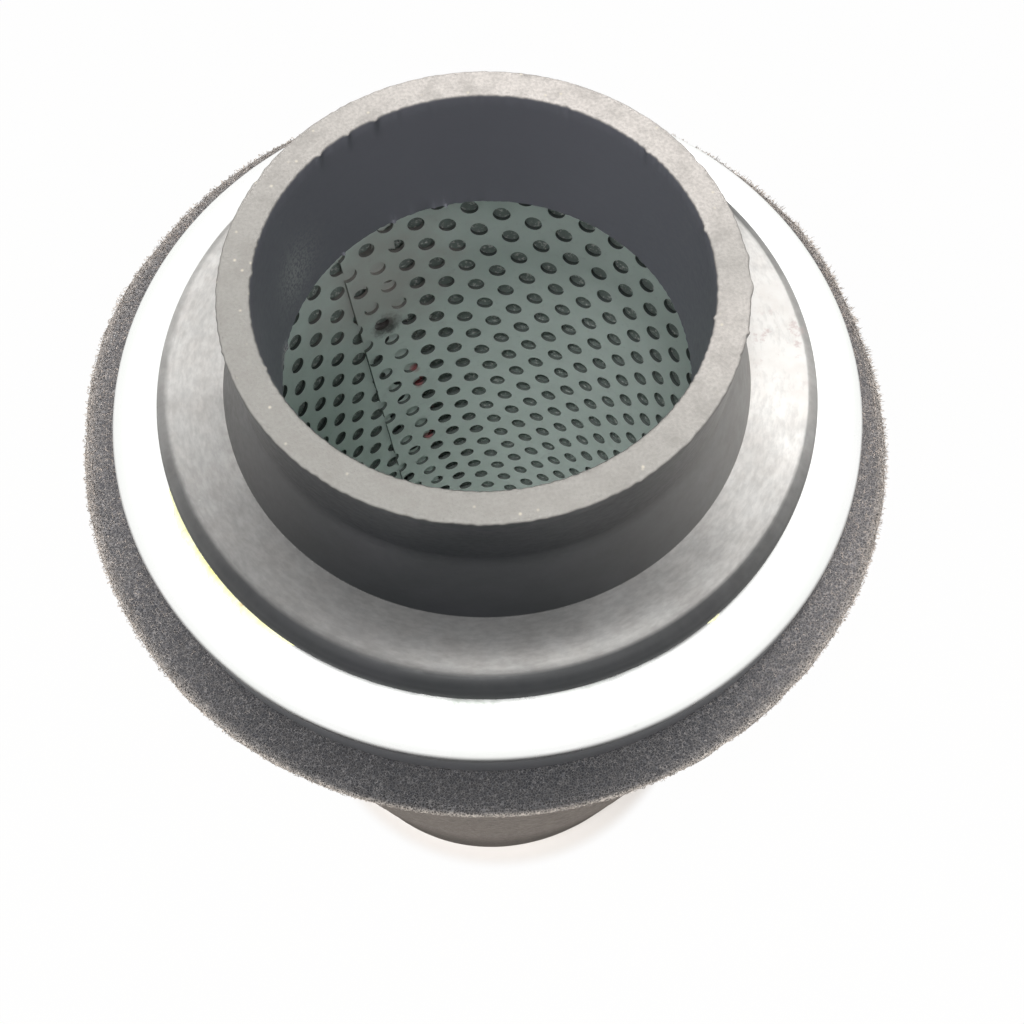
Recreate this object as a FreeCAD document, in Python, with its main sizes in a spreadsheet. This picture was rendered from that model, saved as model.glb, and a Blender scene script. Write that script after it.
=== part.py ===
"""Motorcycle air filter: a tapered foam sleeve round a perforated steel tube, closed by
pressed steel caps, with a rubber neck that is clamped over the carburettor's inlet.

Millimetres, +Z up, origin at the centre of the bottom cap's underside.
"""
import FreeCAD, Part
import Sketcher
import math
import os

doc = FreeCAD.newDocument("air_filter")

# Driving sizes: alias, value and what it is
SIZES = [
    ("body_height", 144.0, "underside of the bottom cap to the face of the top cap"),
    ("cap_sheet", 0.8, "thickness of the pressed caps"),
    ("cap_land", 6.5, "bare face of the top cap outside the flange, with its bend"),
    ("cap_shoulder", 2.4, "outer radius of the bend between face and skirt"),
    ("cap_depth", 8.2, "face to the edge of the skirt, on both caps"),
    ("cap_hole_margin", 4.5, "how far the top cap's hole stands back from the neck's bore"),
    ("lower_shoulder", 2.0, "outer radius of the bottom cap's bend"),
    ("lower_panel_radius", 22.0, "stiffening panel pressed into the bottom cap"),
    ("lower_panel_depth", 1.5, "height that the panel is raised"),
    ("neck_bore", 25.5, "radius of the bore that fits over the inlet"),
    ("neck_wall", 3.8, "rubber wall at the straight land under the rim"),
    ("neck_rise", 22.3, "underside of the flange to the rim"),
    ("neck_land", 10.0, "straight land that takes the hose clamp"),
    ("neck_flare", 3.5, "how much wider the neck is at its foot"),
    ("rim_round", 0.5, "rounding of the rim's two edges"),
    ("bore_flare", 2.6, "height and width of the bell at the lower end of the bore"),
    ("flange_height", 3.0, "thickness of the flange at the neck's foot"),
    ("flange_round", 2.2, "rounding of the flange's upper edge"),
    ("glue_film", 0.3, "adhesive between flange and top cap"),
    ("glue_bead", 0.8, "height and width of the adhesive squeezed out at the flange's edge"),
    ("glue_bead_angle", 216.5, "degrees from +X to the middle of that bead"),
    ("glue_bead_sweep", 34.0, "degrees of edge that the bead follows"),
    ("glue_drop_angle", 307.4, "degrees from +X to the one drop on the other side"),
    ("glue_drop_sweep", 2.4, "degrees of edge that the drop follows"),
    ("tube_radius", 38.2, "inside of the perforated tube at its upper end"),
    ("tube_sheet", 0.6, "thickness of the perforated sheet"),
    ("taper", 4.95, "degrees, half-angle of the tube and the foam"),
    ("seam_angle", 126.0, "degrees from +X to the inner edge of the lap seam"),
    ("seam_lap", 14.5, "degrees over which the sheet's ends overlap"),
    ("hole_pitch", 13.6, "spacing of the modelled perforations; the real sheet has 5"),
    ("hole_radius", 3.3, "radius of the modelled perforations; the real ones have 1.35"),
    ("hole_margin", 11.0, "plain sheet at each end, held in the sealant"),
    ("foam_thickness", 13.2, "wall of the foam sleeve"),
    ("foam_flare", 1.65, "swelling of the foam's upper edge"),
    ("foam_flare_height", 8.0, "height over which it swells"),
    ("top_overhang", 3.56, "foam standing out beyond the top cap's skirt"),
    ("lower_overhang", 0.4, "foam standing out beyond the bottom cap's skirt"),
    ("fit_gap", 0.2, "clearance between pieces that are pushed together"),
]

# Sizes worked out from the ones above
DERIVED = [
    ("cap_hole", "neck_bore + cap_hole_margin"),
    ("cap_under", "body_height - cap_sheet"),
    ("cap_bend_start", "body_height - cap_shoulder"),
    ("cap_bend_inside", "cap_shoulder - cap_sheet"),
    ("skirt_edge", "body_height - cap_depth"),
    ("foam_top", "skirt_edge - fit_gap"),
    ("foam_bottom", "cap_depth + fit_gap"),
    ("tube_top", "cap_under - fit_gap"),
    ("tube_bottom", "cap_sheet + fit_gap"),
    ("slope", "tan(taper)"),
    ("tube_inner_low", "tube_radius - (tube_top - tube_bottom) * slope"),
    ("tube_outer_top", "tube_radius + tube_sheet"),
    ("tube_outer_low", "tube_inner_low + tube_sheet"),
    ("tube_height", "tube_top - tube_bottom"),
    ("lap_inner_top", "tube_radius - tube_sheet"),
    ("lap_inner_low", "tube_inner_low - tube_sheet"),
    ("lap_outer_top", "tube_radius + tube_sheet / 2"),
    ("lap_outer_low", "tube_inner_low + tube_sheet / 2"),
    ("seat_top", "tube_outer_top + fit_gap"),
    ("foam_inner_top", "seat_top - (tube_top - foam_top) * slope"),
    ("foam_inner_low", "seat_top - (tube_top - foam_bottom) * slope"),
    ("foam_side_top", "foam_inner_top + foam_thickness"),
    ("foam_edge", "foam_side_top + foam_flare"),
    ("foam_flare_start", "foam_top - foam_flare_height"),
    ("foam_side_flare", "foam_side_top - foam_flare_height * slope"),
    ("foam_side_low", "foam_side_top - (foam_top - foam_bottom) * slope"),
    ("cap_radius", "foam_side_top - top_overhang"),
    ("cap_inside", "cap_radius - cap_sheet"),
    ("cap_flat", "cap_radius - cap_shoulder"),
    ("lower_radius", "foam_side_low - lower_overhang"),
    ("lower_inside", "lower_radius - cap_sheet"),
    ("lower_flat", "lower_radius - lower_shoulder"),
    ("lower_bend_inside", "lower_shoulder - cap_sheet"),
    ("lower_panel_foot", "lower_panel_radius + lower_panel_depth"),
    ("lower_panel_top", "lower_panel_depth + cap_sheet"),
    ("seal_outer", "cap_inside - fit_gap"),
    ("seal_bend", "cap_bend_inside - fit_gap"),
    ("seal_low", "skirt_edge"),
    ("seal_inner_low", "seat_top - (tube_top - seal_low) * slope"),
    ("lower_seal_outer", "lower_inside - fit_gap"),
    ("lower_seal_bend", "lower_bend_inside - fit_gap"),
    ("lower_seal_inner_low", "seat_top - tube_height * slope"),
    ("lower_seal_inner_top", "seat_top - (tube_top - cap_depth) * slope"),
    ("boot_base", "body_height + glue_film"),
    ("rim_height", "boot_base + neck_rise"),
    ("neck_outer", "neck_bore + neck_wall"),
    ("neck_foot", "neck_outer + neck_flare"),
    ("land_start", "rim_height - neck_land"),
    ("rim_edge_start", "rim_height - rim_round"),
    ("rim_flat_inner", "neck_bore + rim_round"),
    ("rim_flat_outer", "neck_outer - rim_round"),
    ("bell_radius", "neck_bore + bore_flare"),
    ("bell_top", "boot_base + bore_flare"),
    ("flange_radius", "cap_radius - cap_land"),
    ("flange_top", "boot_base + flange_height"),
    ("flange_flat", "flange_radius - flange_round"),
    ("flange_edge_top", "flange_top - flange_round"),
    ("bead_top", "body_height + glue_bead"),
    ("bead_edge", "flange_radius + glue_bead"),
]


def make_sheet():
    """Fill the spreadsheet: driving sizes first, then the sizes that follow from them."""
    sheet = doc.addObject("Spreadsheet::Sheet", "Sizes")
    row = 1
    for alias, value, note in SIZES:
        sheet.set(f"A{row}", alias)
        sheet.set(f"B{row}", str(value))
        sheet.set(f"C{row}", note)
        sheet.setAlias(f"B{row}", alias)
        row += 1
    for alias, formula in DERIVED:
        sheet.set(f"A{row}", alias)
        sheet.setAlias(f"B{row}", alias)
        sheet.set(f"B{row}", "=" + formula)
        row += 1
    doc.recompute()
    return sheet


sheet = make_sheet()


def size(alias):
    """The present value of a size in the sheet."""
    return float(getattr(sheet, alias))


def origin_plane(body, role):
    """One of the body's own origin planes, found by its role."""
    return next(item for item in body.Origin.OriginFeatures if item.Role == role)


def new_body(label):
    body = doc.addObject("PartDesign::Body", label)
    body.Label = label
    return body


def profile(body, name, corners, heading=None):
    """A closed outline on the XZ plane, or on that plane turned to a heading. Each corner
    names its radius and its height in the sheet, and the round that leads to the next."""
    sketch = body.newObject("Sketcher::SketchObject", name)
    sketch.AttachmentSupport = (origin_plane(body, "XZ_Plane"), [""])
    sketch.MapMode = "FlatFace"
    if heading:
        sketch.AttachmentOffset.Rotation = FreeCAD.Rotation(FreeCAD.Vector(0, 1, 0), size(heading))
        sketch.setExpression("AttachmentOffset.Rotation.Angle", "Sizes." + heading)
    points = [FreeCAD.Vector(size(across) if across else 0, size(up) if up else 0, 0)
              for across, up, bend in corners]
    for index, (across, up, bend) in enumerate(corners):
        start = points[index]
        end = points[(index + 1) % len(points)]
        if bend:
            sketch.addGeometry(rounded(start, end, bend[1]), False)
        else:
            sketch.addGeometry(Part.LineSegment(start, end), False)
    for index in range(len(corners)):
        after = (index + 1) % len(corners)
        sketch.addConstraint(Sketcher.Constraint(
            "Coincident", index, arc_end(corners[index][2], 2), after, arc_end(corners[after][2], 1)))
    for index, (across, up, bend) in enumerate(corners):
        vertex = arc_end(bend, 1)
        fix_distance(sketch, "DistanceX", index, vertex, across)
        fix_distance(sketch, "DistanceY", index, vertex, up)
        if bend:
            number = sketch.addConstraint(Sketcher.Constraint("Radius", index, size(bend[0])))
            sketch.setExpression(f"Constraints[{number}]", "Sizes." + bend[0])
    return sketch


def arc_end(bend, vertex):
    """Which end of an edge is meant: an arc that runs clockwise keeps its ends swapped."""
    if bend and bend[1] == "clockwise":
        return 3 - vertex
    return vertex


def rounded(start, end, turn):
    """A quarter circle from start to end, whose centre is on the side that it turns to."""
    half = (end - start) * 0.5
    to_centre = FreeCAD.Vector(-half.y, half.x, 0)
    if turn == "clockwise":
        to_centre = to_centre * -1
        start, end = end, start
    centre = start + (end - start) * 0.5 + to_centre
    first = math.atan2(start.y - centre.y, start.x - centre.x)
    circle = Part.Circle(centre, FreeCAD.Vector(0, 0, 1), half.Length * math.sqrt(2))
    return Part.ArcOfCircle(circle, first, first + math.pi / 2)


def fix_distance(sketch, kind, index, vertex, alias):
    """Hold one coordinate of a corner at a size of the sheet, or on the axis at zero."""
    if alias is None:
        axis = -2 if kind == "DistanceX" else -1
        sketch.addConstraint(Sketcher.Constraint("PointOnObject", index, vertex, axis))
        return
    number = sketch.addConstraint(Sketcher.Constraint(kind, -1, 1, index, vertex, size(alias)))
    sketch.setExpression(f"Constraints[{number}]", "Sizes." + alias)


def revolve(body, sketch, sweep=None):
    """Turn an outline fully round the Z axis, or through a sweep, half to each side."""
    turned = body.newObject("PartDesign::Revolution", sketch.Name + "_turned")
    turned.Profile = sketch
    turned.ReferenceAxis = (sketch, ["V_Axis"])
    turned.Angle = 360
    if sweep:
        turned.Midplane = True
        turned.setExpression("Angle", "Sizes." + sweep)
    sketch.Visibility = False
    return turned


def turned_piece(label, corners):
    """A piece that is one outline turned round the axis."""
    body = new_body(label)
    revolve(body, profile(body, label + "_outline", corners))
    return body


# Neck: moulded rubber, a flange with a rounded edge and a flared neck
neck_boot = turned_piece("neck_boot", [
    ("bell_radius", "boot_base", None),
    ("flange_radius", "boot_base", None),
    ("flange_radius", "flange_edge_top", ("flange_round", "anticlockwise")),
    ("flange_flat", "flange_top", None),
    ("neck_foot", "flange_top", None),
    ("neck_outer", "land_start", None),
    ("neck_outer", "rim_edge_start", ("rim_round", "anticlockwise")),
    ("rim_flat_outer", "rim_height", None),
    ("rim_flat_inner", "rim_height", ("rim_round", "anticlockwise")),
    ("neck_bore", "rim_edge_start", None),
    ("neck_bore", "bell_top", None),
])

# Top cap: a pressed steel ring with a rounded shoulder and a skirt
top_cap = turned_piece("top_cap", [
    ("cap_hole", "cap_under", None),
    ("cap_flat", "cap_under", ("cap_bend_inside", "clockwise")),
    ("cap_inside", "cap_bend_start", None),
    ("cap_inside", "skirt_edge", None),
    ("cap_radius", "skirt_edge", None),
    ("cap_radius", "cap_bend_start", ("cap_shoulder", "anticlockwise")),
    ("cap_flat", "body_height", None),
    ("cap_hole", "body_height", None),
])

# Bottom cap: a closed pressed dish with a raised centre, so that it stands on a ring
bottom_cap = turned_piece("bottom_cap", [
    (None, "lower_panel_depth", None),
    ("lower_panel_radius", "lower_panel_depth", None),
    ("lower_panel_foot", None, None),
    ("lower_flat", None, ("lower_shoulder", "anticlockwise")),
    ("lower_radius", "lower_shoulder", None),
    ("lower_radius", "cap_depth", None),
    ("lower_inside", "cap_depth", None),
    ("lower_inside", "lower_shoulder", ("lower_bend_inside", "clockwise")),
    ("lower_flat", "cap_sheet", None),
    ("lower_panel_foot", "cap_sheet", None),
    ("lower_panel_radius", "lower_panel_top", None),
    (None, "lower_panel_top", None),
])

# Sealant: cast rings that hold the ends of tube and foam in the caps
top_potting = turned_piece("top_potting", [
    ("seal_inner_low", "seal_low", None),
    ("seal_outer", "seal_low", None),
    ("seal_outer", "cap_bend_start", ("seal_bend", "anticlockwise")),
    ("cap_flat", "tube_top", None),
    ("seat_top", "tube_top", None),
])
bottom_potting = turned_piece("bottom_potting", [
    ("lower_seal_inner_low", "tube_bottom", None),
    ("lower_flat", "tube_bottom", ("lower_seal_bend", "anticlockwise")),
    ("lower_seal_outer", "lower_shoulder", None),
    ("lower_seal_outer", "cap_depth", None),
    ("lower_seal_inner_top", "cap_depth", None),
])

# Foam: an open-cell sleeve, stretched over the tube, that swells a little at its upper edge
foam_sleeve = turned_piece("foam_sleeve", [
    ("foam_inner_low", "foam_bottom", None),
    ("foam_side_low", "foam_bottom", None),
    ("foam_side_flare", "foam_flare_start", None),
    ("foam_edge", "foam_top", None),
    ("foam_inner_top", "foam_top", None),
])


def cone(name, lower, upper):
    """A cone as tall as the tube, with its two radii read from the sheet."""
    shape = doc.addObject("Part::Cone", name)
    shape.setExpression("Radius1", "Sizes." + lower)
    shape.setExpression("Radius2", "Sizes." + upper)
    shape.setExpression("Height", "Sizes.tube_height")
    shape.setExpression("Placement.Base.z", "Sizes.tube_bottom")
    return shape


def sector(shape):
    """Keep only the part of a cone that lies in the lap seam."""
    shape.setExpression("Angle", "Sizes.seam_lap")
    shape.Placement.Rotation = FreeCAD.Rotation(FreeCAD.Vector(0, 0, 1), 1)
    shape.setExpression("Placement.Rotation.Angle", "Sizes.seam_angle - Sizes.seam_lap")
    return shape


def difference(name, base, tool):
    cut = doc.addObject("Part::Cut", name)
    cut.Base = base
    cut.Tool = tool
    return cut


def sheet_points():
    """Centres of the holes on the flat sheet before it is rolled. The sheet is a sector
    of a ring about the cone's apex, and its rows run across the middle of the sector.
    Each centre is given as its distance from the apex and its angle on the rolled tube."""
    lean = math.radians(size("taper"))
    pitch = size("hole_pitch")
    far = size("tube_radius") / math.sin(lean)
    near = size("tube_inner_low") / math.sin(lean)
    half_sector = math.pi * math.sin(lean)
    margin = size("hole_margin")
    row_step = pitch * math.sqrt(3) / 2
    rows = int(far / row_step) + 1
    columns = int(far * half_sector / pitch) + 1
    half_hole = size("hole_radius") + size("tube_sheet")
    for row in range(rows):
        along = row * row_step
        stagger = pitch / 2 * (row % 2)
        for column in range(-columns, columns + 1):
            across = column * pitch + stagger
            reach = math.hypot(across, along)
            turn = math.atan2(across, along)
            inside = near + margin < reach < far - margin
            if inside and abs(turn) < half_sector - half_hole / reach:
                yield reach, turn / math.sin(lean)


def punches():
    """One short cylinder for each hole, square to the tube's wall."""
    lean = math.radians(size("taper"))
    length = size("tube_sheet") * 6
    apex = size("tube_top") - size("tube_radius") / math.tan(lean)
    opposite_seam = math.radians(size("seam_angle") - size("seam_lap") / 2) + math.pi
    tools = []
    for reach, turn in sheet_points():
        angle = opposite_seam + turn
        outward = FreeCAD.Vector(math.cos(angle), math.sin(angle), 0)
        normal = outward * math.cos(lean) - FreeCAD.Vector(0, 0, math.sin(lean))
        centre = outward * (reach * math.sin(lean)) + FreeCAD.Vector(0, 0, apex + reach * math.cos(lean))
        tools.append(Part.makeCylinder(size("hole_radius"), length, centre - normal * (length / 2), normal))
    return Part.makeCompound(tools)


# Perforated tube: a sheet punched flat, rolled to a cone and lapped at its seam
wall = difference("tube_wall", cone("tube_outside", "tube_outer_low", "tube_outer_top"),
                  cone("tube_inside", "tube_inner_low", "tube_radius"))
lap = difference("tube_lap", sector(cone("lap_outside", "lap_outer_low", "lap_outer_top")),
                 sector(cone("lap_inside", "lap_inner_low", "lap_inner_top")))
rolled = doc.addObject("Part::Fuse", "tube_rolled")
rolled.Base = wall
rolled.Tool = lap
tools = doc.addObject("Part::Feature", "hole_punches")
tools.Shape = punches()
perforated_tube = difference("perforated_tube", rolled, tools)
perforated_tube.Label = "perforated_tube"

# Adhesive: a film under the flange, squeezed out as a bead along part of its edge
boot_adhesive = turned_piece("boot_adhesive", [
    ("cap_hole", "body_height", None),
    ("flange_radius", "body_height", None),
    ("flange_radius", "boot_base", None),
    ("cap_hole", "boot_base", None),
])
BEAD = [
    ("flange_radius", "body_height", None),
    ("bead_edge", "body_height", None),
    ("flange_radius", "bead_top", None),
]
for name, heading, sweep in [("bead", "glue_bead_angle", "glue_bead_sweep"),
                             ("drop", "glue_drop_angle", "glue_drop_sweep")]:
    revolve(boot_adhesive, profile(boot_adhesive, name, BEAD, heading), sweep)

PIECES = [neck_boot, boot_adhesive, top_cap, top_potting, perforated_tube, foam_sleeve,
          bottom_potting, bottom_cap]

doc.recompute()
for item in doc.Objects:
    if "Invalid" in item.State or "Error" in item.State:
        raise RuntimeError(f"{item.Name} failed: {item.State}")
for piece in PIECES:
    if piece.Shape.isNull() or not piece.Shape.isValid() or not piece.Shape.Solids:
        raise RuntimeError(f"{piece.Label} has no valid solid")

os.makedirs("parts", exist_ok=True)
for piece in PIECES:
    piece.Shape.exportStep(f"parts/{piece.Label}.step")
    box = piece.Shape.optimalBoundingBox()
    print(f"{piece.Label}: {len(piece.Shape.Solids)} solid, {piece.Shape.Volume:.0f} mm3, "
          f"z {box.ZMin:.2f} to {box.ZMax:.2f}, across {box.XLength:.2f}")
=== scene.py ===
# %% [markdown]
# # Dressing a motorcycle air filter
#
# The object is a tapered foam sleeve pushed over a perforated steel tube, closed by two
# pressed steel caps, with a rubber neck that is clamped over the carburettor's inlet. Its
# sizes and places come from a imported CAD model. This notebook loads that model, reads the
# sizes back from it, and lays a finer surface over each piece that shows. Nearly every
# piece is round, so most cells are one idea used again: an outline turned round an axis.

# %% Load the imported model
import math

import bmesh
import bpy
import numpy as np
from mathutils import Matrix, Vector


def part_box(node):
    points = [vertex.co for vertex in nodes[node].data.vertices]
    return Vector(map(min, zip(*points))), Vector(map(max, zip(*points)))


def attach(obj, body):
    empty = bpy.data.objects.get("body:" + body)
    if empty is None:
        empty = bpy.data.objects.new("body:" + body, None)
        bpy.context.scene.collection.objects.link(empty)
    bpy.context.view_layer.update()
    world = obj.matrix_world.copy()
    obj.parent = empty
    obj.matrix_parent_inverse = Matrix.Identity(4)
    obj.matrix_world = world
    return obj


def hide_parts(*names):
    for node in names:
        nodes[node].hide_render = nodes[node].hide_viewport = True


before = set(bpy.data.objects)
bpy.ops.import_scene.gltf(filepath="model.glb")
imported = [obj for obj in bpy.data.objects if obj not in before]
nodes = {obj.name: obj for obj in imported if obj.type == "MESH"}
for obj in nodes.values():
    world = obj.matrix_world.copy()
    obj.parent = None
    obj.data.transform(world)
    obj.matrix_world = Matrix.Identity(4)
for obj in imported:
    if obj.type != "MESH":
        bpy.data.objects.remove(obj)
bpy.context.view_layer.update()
print("nodes:", sorted(nodes))

# %% [markdown]
# ## The camera comes first
#
# A photograph fixes where the camera stood once a few circles of known size are found in
# it: the rim, the crease at the foot of the neck and the edge of the cap. Their ellipses
# give the height, the tilt and the field of view. The values below are that result, as a
# place in metres and three angles, so that everything after them can be compared with the
# photograph point by point.

# %% Camera at the photograph's viewing angle
CAMERA_PLACE = Vector((0.0, -0.07317, 0.27380))
CAMERA_DOWN = math.radians(67.134)
CAMERA_RIGHT = math.radians(2.4155)
CAMERA_ROLL = math.radians(-0.0605)
# Both in pixels of the photograph
PHOTO_SIDE = 1024
FOCAL_LENGTH = 1162
SENSOR_WIDTH = 36


def camera_axes():
    """Right, up and backward directions of the camera, from its three angles."""
    ahead = Vector((
        math.sin(CAMERA_RIGHT) * math.cos(CAMERA_DOWN),
        math.cos(CAMERA_RIGHT) * math.cos(CAMERA_DOWN),
        -math.sin(CAMERA_DOWN),
    ))
    level = ahead.cross(Vector((0, 0, 1))).normalized()
    above = level.cross(ahead)
    right = level * math.cos(CAMERA_ROLL) + above * math.sin(CAMERA_ROLL)
    up = above * math.cos(CAMERA_ROLL) - level * math.sin(CAMERA_ROLL)
    return right, up, -ahead


camera_data = bpy.data.cameras.new("camera")
camera_data.sensor_width = SENSOR_WIDTH
camera_data.lens = FOCAL_LENGTH / PHOTO_SIDE * SENSOR_WIDTH
camera_data.clip_start = 0.01
camera_data.clip_end = 20
camera = bpy.data.objects.new("camera", camera_data)
turn = Matrix(camera_axes()).transposed().to_4x4()
camera.matrix_world = Matrix.Translation(CAMERA_PLACE) @ turn
bpy.context.scene.collection.objects.link(camera)
bpy.context.scene.camera = camera
print("lens", round(camera_data.lens, 2), "mm")

# %% [markdown]
# ## Sizes
#
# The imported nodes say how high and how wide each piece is. Only what a box can't tell, such
# as a wall or a rounding, is written here, in millimetres. A filter's pieces are stacked,
# so their heights are read off from the bottom cap upwards.

# %% Heights and radii
MM = 0.001


def reach(node):
    """Lowest height, highest height and radius of a round node, in metres."""
    low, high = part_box(node)
    return low.z, high.z, high.x


SKIRT_EDGE, CAP_FACE, CAP_RADIUS = reach("top_cap")
_, LOWER_SKIRT_EDGE, LOWER_RADIUS = reach("bottom_cap")
NECK_FOOT, RIM, FLANGE_RADIUS = reach("neck_boot")
TUBE_LOW, TUBE_HIGH, TUBE_OUTSIDE = reach("perforated_tube")
FOAM_LOW, FOAM_HIGH, _ = reach("foam_sleeve")
# Half the angle of each cone
TAPER = math.radians(4.95)
TUBE_TAPER = math.radians(4.911)
TUBE_SHEET = 0.6 * MM
CAP_SHEET = 0.8 * MM
print("rim at", round(RIM / MM, 2), "mm, cap face at", round(CAP_FACE / MM, 2), "mm")

# %% [markdown]
# ## Outlines and turned surfaces
#
# A turned piece is a closed outline in the plane of radius and height, carried round the Z
# axis. The outline is put together from straight runs and arcs, each given as an array of
# points. Turning it is one multiplication of whole arrays: every outline point meets every
# angle. Outlines run anticlockwise, with the material on their left, so that the faces
# point outwards without any later repair. Where something happens on a piece, such as a nick
# or dust, is said in the same way, by bell curves and slopes over heading, radius and height.

# %% Outline helpers


def run(start, end, count=1):
    """Points of a straight run, its end left out: start + (end - start) * k / count."""
    share = np.arange(count)[:, None] / count
    return np.array(start) + (np.array(end) - np.array(start)) * share


def bend(centre, radius, first, last, count=6):
    """Points of an arc, its end left out: centre + radius * (cos a, sin a), a in degrees."""
    angle = np.radians(first + (last - first) * np.arange(count) / count)
    return np.array(centre) + radius * np.stack([np.cos(angle), np.sin(angle)], axis=1)


def round_axis(radius, angle, height):
    """Points (r cos a, r sin a, z) from arrays of radius, angle and height."""
    return np.stack([radius * np.cos(angle), radius * np.sin(angle), height + 0 * angle], axis=-1)


def turned(outline, columns):
    """Every outline point (r, z) at every angle. Returns the points as rows of the outline by
    columns of angle, and the angles."""
    angle = np.linspace(0, 2 * np.pi, columns, endpoint=False)
    return round_axis(outline[:, :1], angle, outline[:, 1:]), angle


def grown(points, angle, outwards):
    """Points moved away from the axis by an array of distances."""
    return points + outwards[..., None] * round_axis(1, angle, 0)


def grid_quads(rows, columns, closed_rows=True, closed_columns=True):
    """Corner numbers of the quads of a grid that is closed round its rows, its columns or
    both."""
    row, column = np.meshgrid(np.arange(rows if closed_rows else rows - 1),
                              np.arange(columns if closed_columns else columns - 1), indexing="ij")
    after, beside = (row + 1) % rows, (column + 1) % columns
    corners = [row * columns + column, row * columns + beside,
               after * columns + beside, after * columns + column]
    return np.stack(corners, axis=2).reshape(-1, 4)


# %% Mesh helpers
SHARP_ANGLE = math.radians(32)


def fill_mesh(name, points, faces):
    """A mesh from an array of points and an array of faces that all have as many corners."""
    mesh = bpy.data.meshes.new(name)
    corners = faces.shape[1]
    mesh.vertices.add(len(points))
    mesh.vertices.foreach_set("co", np.ascontiguousarray(points, np.float32).ravel())
    mesh.loops.add(faces.size)
    mesh.loops.foreach_set("vertex_index", np.ascontiguousarray(faces, np.int32).ravel())
    mesh.polygons.add(len(faces))
    mesh.polygons.foreach_set("loop_start", np.arange(0, faces.size, corners, dtype=np.int32))
    mesh.update(calc_edges=True)
    return mesh


def grid_mesh(name, points, **closed):
    """A mesh of quads from points in rows and columns."""
    return fill_mesh(name, points.reshape(-1, 3), grid_quads(*points.shape[:2], **closed))


def add_piece(name, mesh, material, slot, *stands_for):
    """Put a mesh in the scene as a piece of the object: smooth, with its sharp edges kept."""
    mesh.polygons.foreach_set("use_smooth", np.ones(len(mesh.polygons), bool))
    mesh.set_sharp_from_angle(angle=SHARP_ANGLE)
    mesh.materials.append(material)
    piece = bpy.data.objects.new(name, mesh)
    bpy.context.scene.collection.objects.link(piece)
    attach(piece, "root")
    if stands_for:
        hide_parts(*stands_for)
    mesh.calc_loop_triangles()
    print(name, "triangles:", len(mesh.loop_triangles))
    return piece


def store(mesh, domain="POINT", **named):
    """Store numbers under names, one for each vertex or face, for a material to read."""
    for name, values in named.items():
        stored = mesh.attributes.new(name, "FLOAT", domain)
        stored.data.foreach_set("value", np.ascontiguousarray(values, np.float32).ravel())


# %% Curves that say where something happens


def hump(value, centre, width):
    """A bell curve: exp(-((value - centre) / width) squared)."""
    return np.exp(-(((value - centre) / width) ** 2))


def at_heading(angle, *bells):
    """A sum of bell curves over the heading, from rows of (heading, width, size), the first
    two in degrees. The gap to a heading is taken the short way round."""
    gaps = [(np.degrees(angle) - heading + 180) % 360 - 180 for heading, _, _ in bells]
    return sum(size * hump(gap, 0, width) for gap, (_, width, size) in zip(gaps, bells))


def slope(value, start, end):
    """0 before start, 1 past end and straight in between; start may be the larger one."""
    return np.clip((value - start) / (end - start), 0, 1)


def eased(share):
    """A share from 0 to 1 that starts and ends gently: share squared times (3 - 2 share)."""
    return share * share * (3 - 2 * share)


# %% [markdown]
# ## Shader building blocks
#
# A material is a tree of nodes. Small functions keep the trees short to write, and effects
# that several finishes share are node groups: streaks that run round the axis, as on
# anything turned or wiped by hand, and pale specks of dust. Groups put out plain masks, and
# each material decides what to do with them.

# %% Shader helpers


def paint(red, green, blue):
    """A colour given as it looks on a screen, 0 to 255, as the linear colour shaders need."""
    part = np.array([red, green, blue]) / 255
    linear = np.where(part <= 0.04045, part / 12.92, ((part + 0.055) / 1.055) ** 2.4)
    return (*[float(value) for value in linear], 1.0)


def add_node(tree, kind, inputs=None, **settings):
    """One node. Settings are its options; inputs are numbers, colours or other sockets."""
    made = tree.nodes.new(kind)
    for name, value in settings.items():
        setattr(made, name, value)
    for name, value in (inputs or {}).items():
        if isinstance(value, bpy.types.NodeSocket):
            tree.links.new(value, made.inputs[name])
        else:
            made.inputs[name].default_value = value
    return made


def calculate(tree, operation, *values):
    """The result of a Math node on numbers or sockets."""
    return add_node(tree, "ShaderNodeMath", dict(enumerate(values)), operation=operation).outputs[0]


def times(tree, first, second):
    """The product of two numbers or sockets."""
    return calculate(tree, "MULTIPLY", first, second)


def largest(tree, first, *others):
    """The largest of several numbers or sockets."""
    for other in others:
        first = calculate(tree, "MAXIMUM", first, other)
    return first


def ramp(tree, value, low, high, to_low=0.0, to_high=1.0):
    """Smoothly carry a value from the range low..high to the range to_low..to_high."""
    inputs = {"Value": value, "From Min": low, "From Max": high, "To Min": to_low, "To Max": to_high}
    return add_node(tree, "ShaderNodeMapRange", inputs, interpolation_type="SMOOTHSTEP").outputs[0]


def mix(tree, share, first, second, kind="MIX"):
    """A mix of two colours."""
    inputs = {0: share, 6: first, 7: second}
    return add_node(tree, "ShaderNodeMix", inputs, data_type="RGBA", blend_type=kind).outputs[2]


def between(tree, share, first, second):
    """A mix of two shades, each given as red, green and blue on a screen."""
    return mix(tree, share, paint(*first), paint(*second))


def tint(tree, colour, mask, strength, shade):
    """A shade mixed over a colour where the mask is 1, as far as a strength from 0 to 1."""
    share = mask if strength == 1 else times(tree, mask, strength)
    return mix(tree, share, colour, paint(*shade))


def own_place(tree):
    """The object's own coordinates, which stay with the piece."""
    return add_node(tree, "ShaderNodeTexCoord").outputs["Object"]


def length_of(tree, vector):
    """The length of a vector."""
    return add_node(tree, "ShaderNodeVectorMath", {0: vector}, operation="LENGTH").outputs[1]


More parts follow.
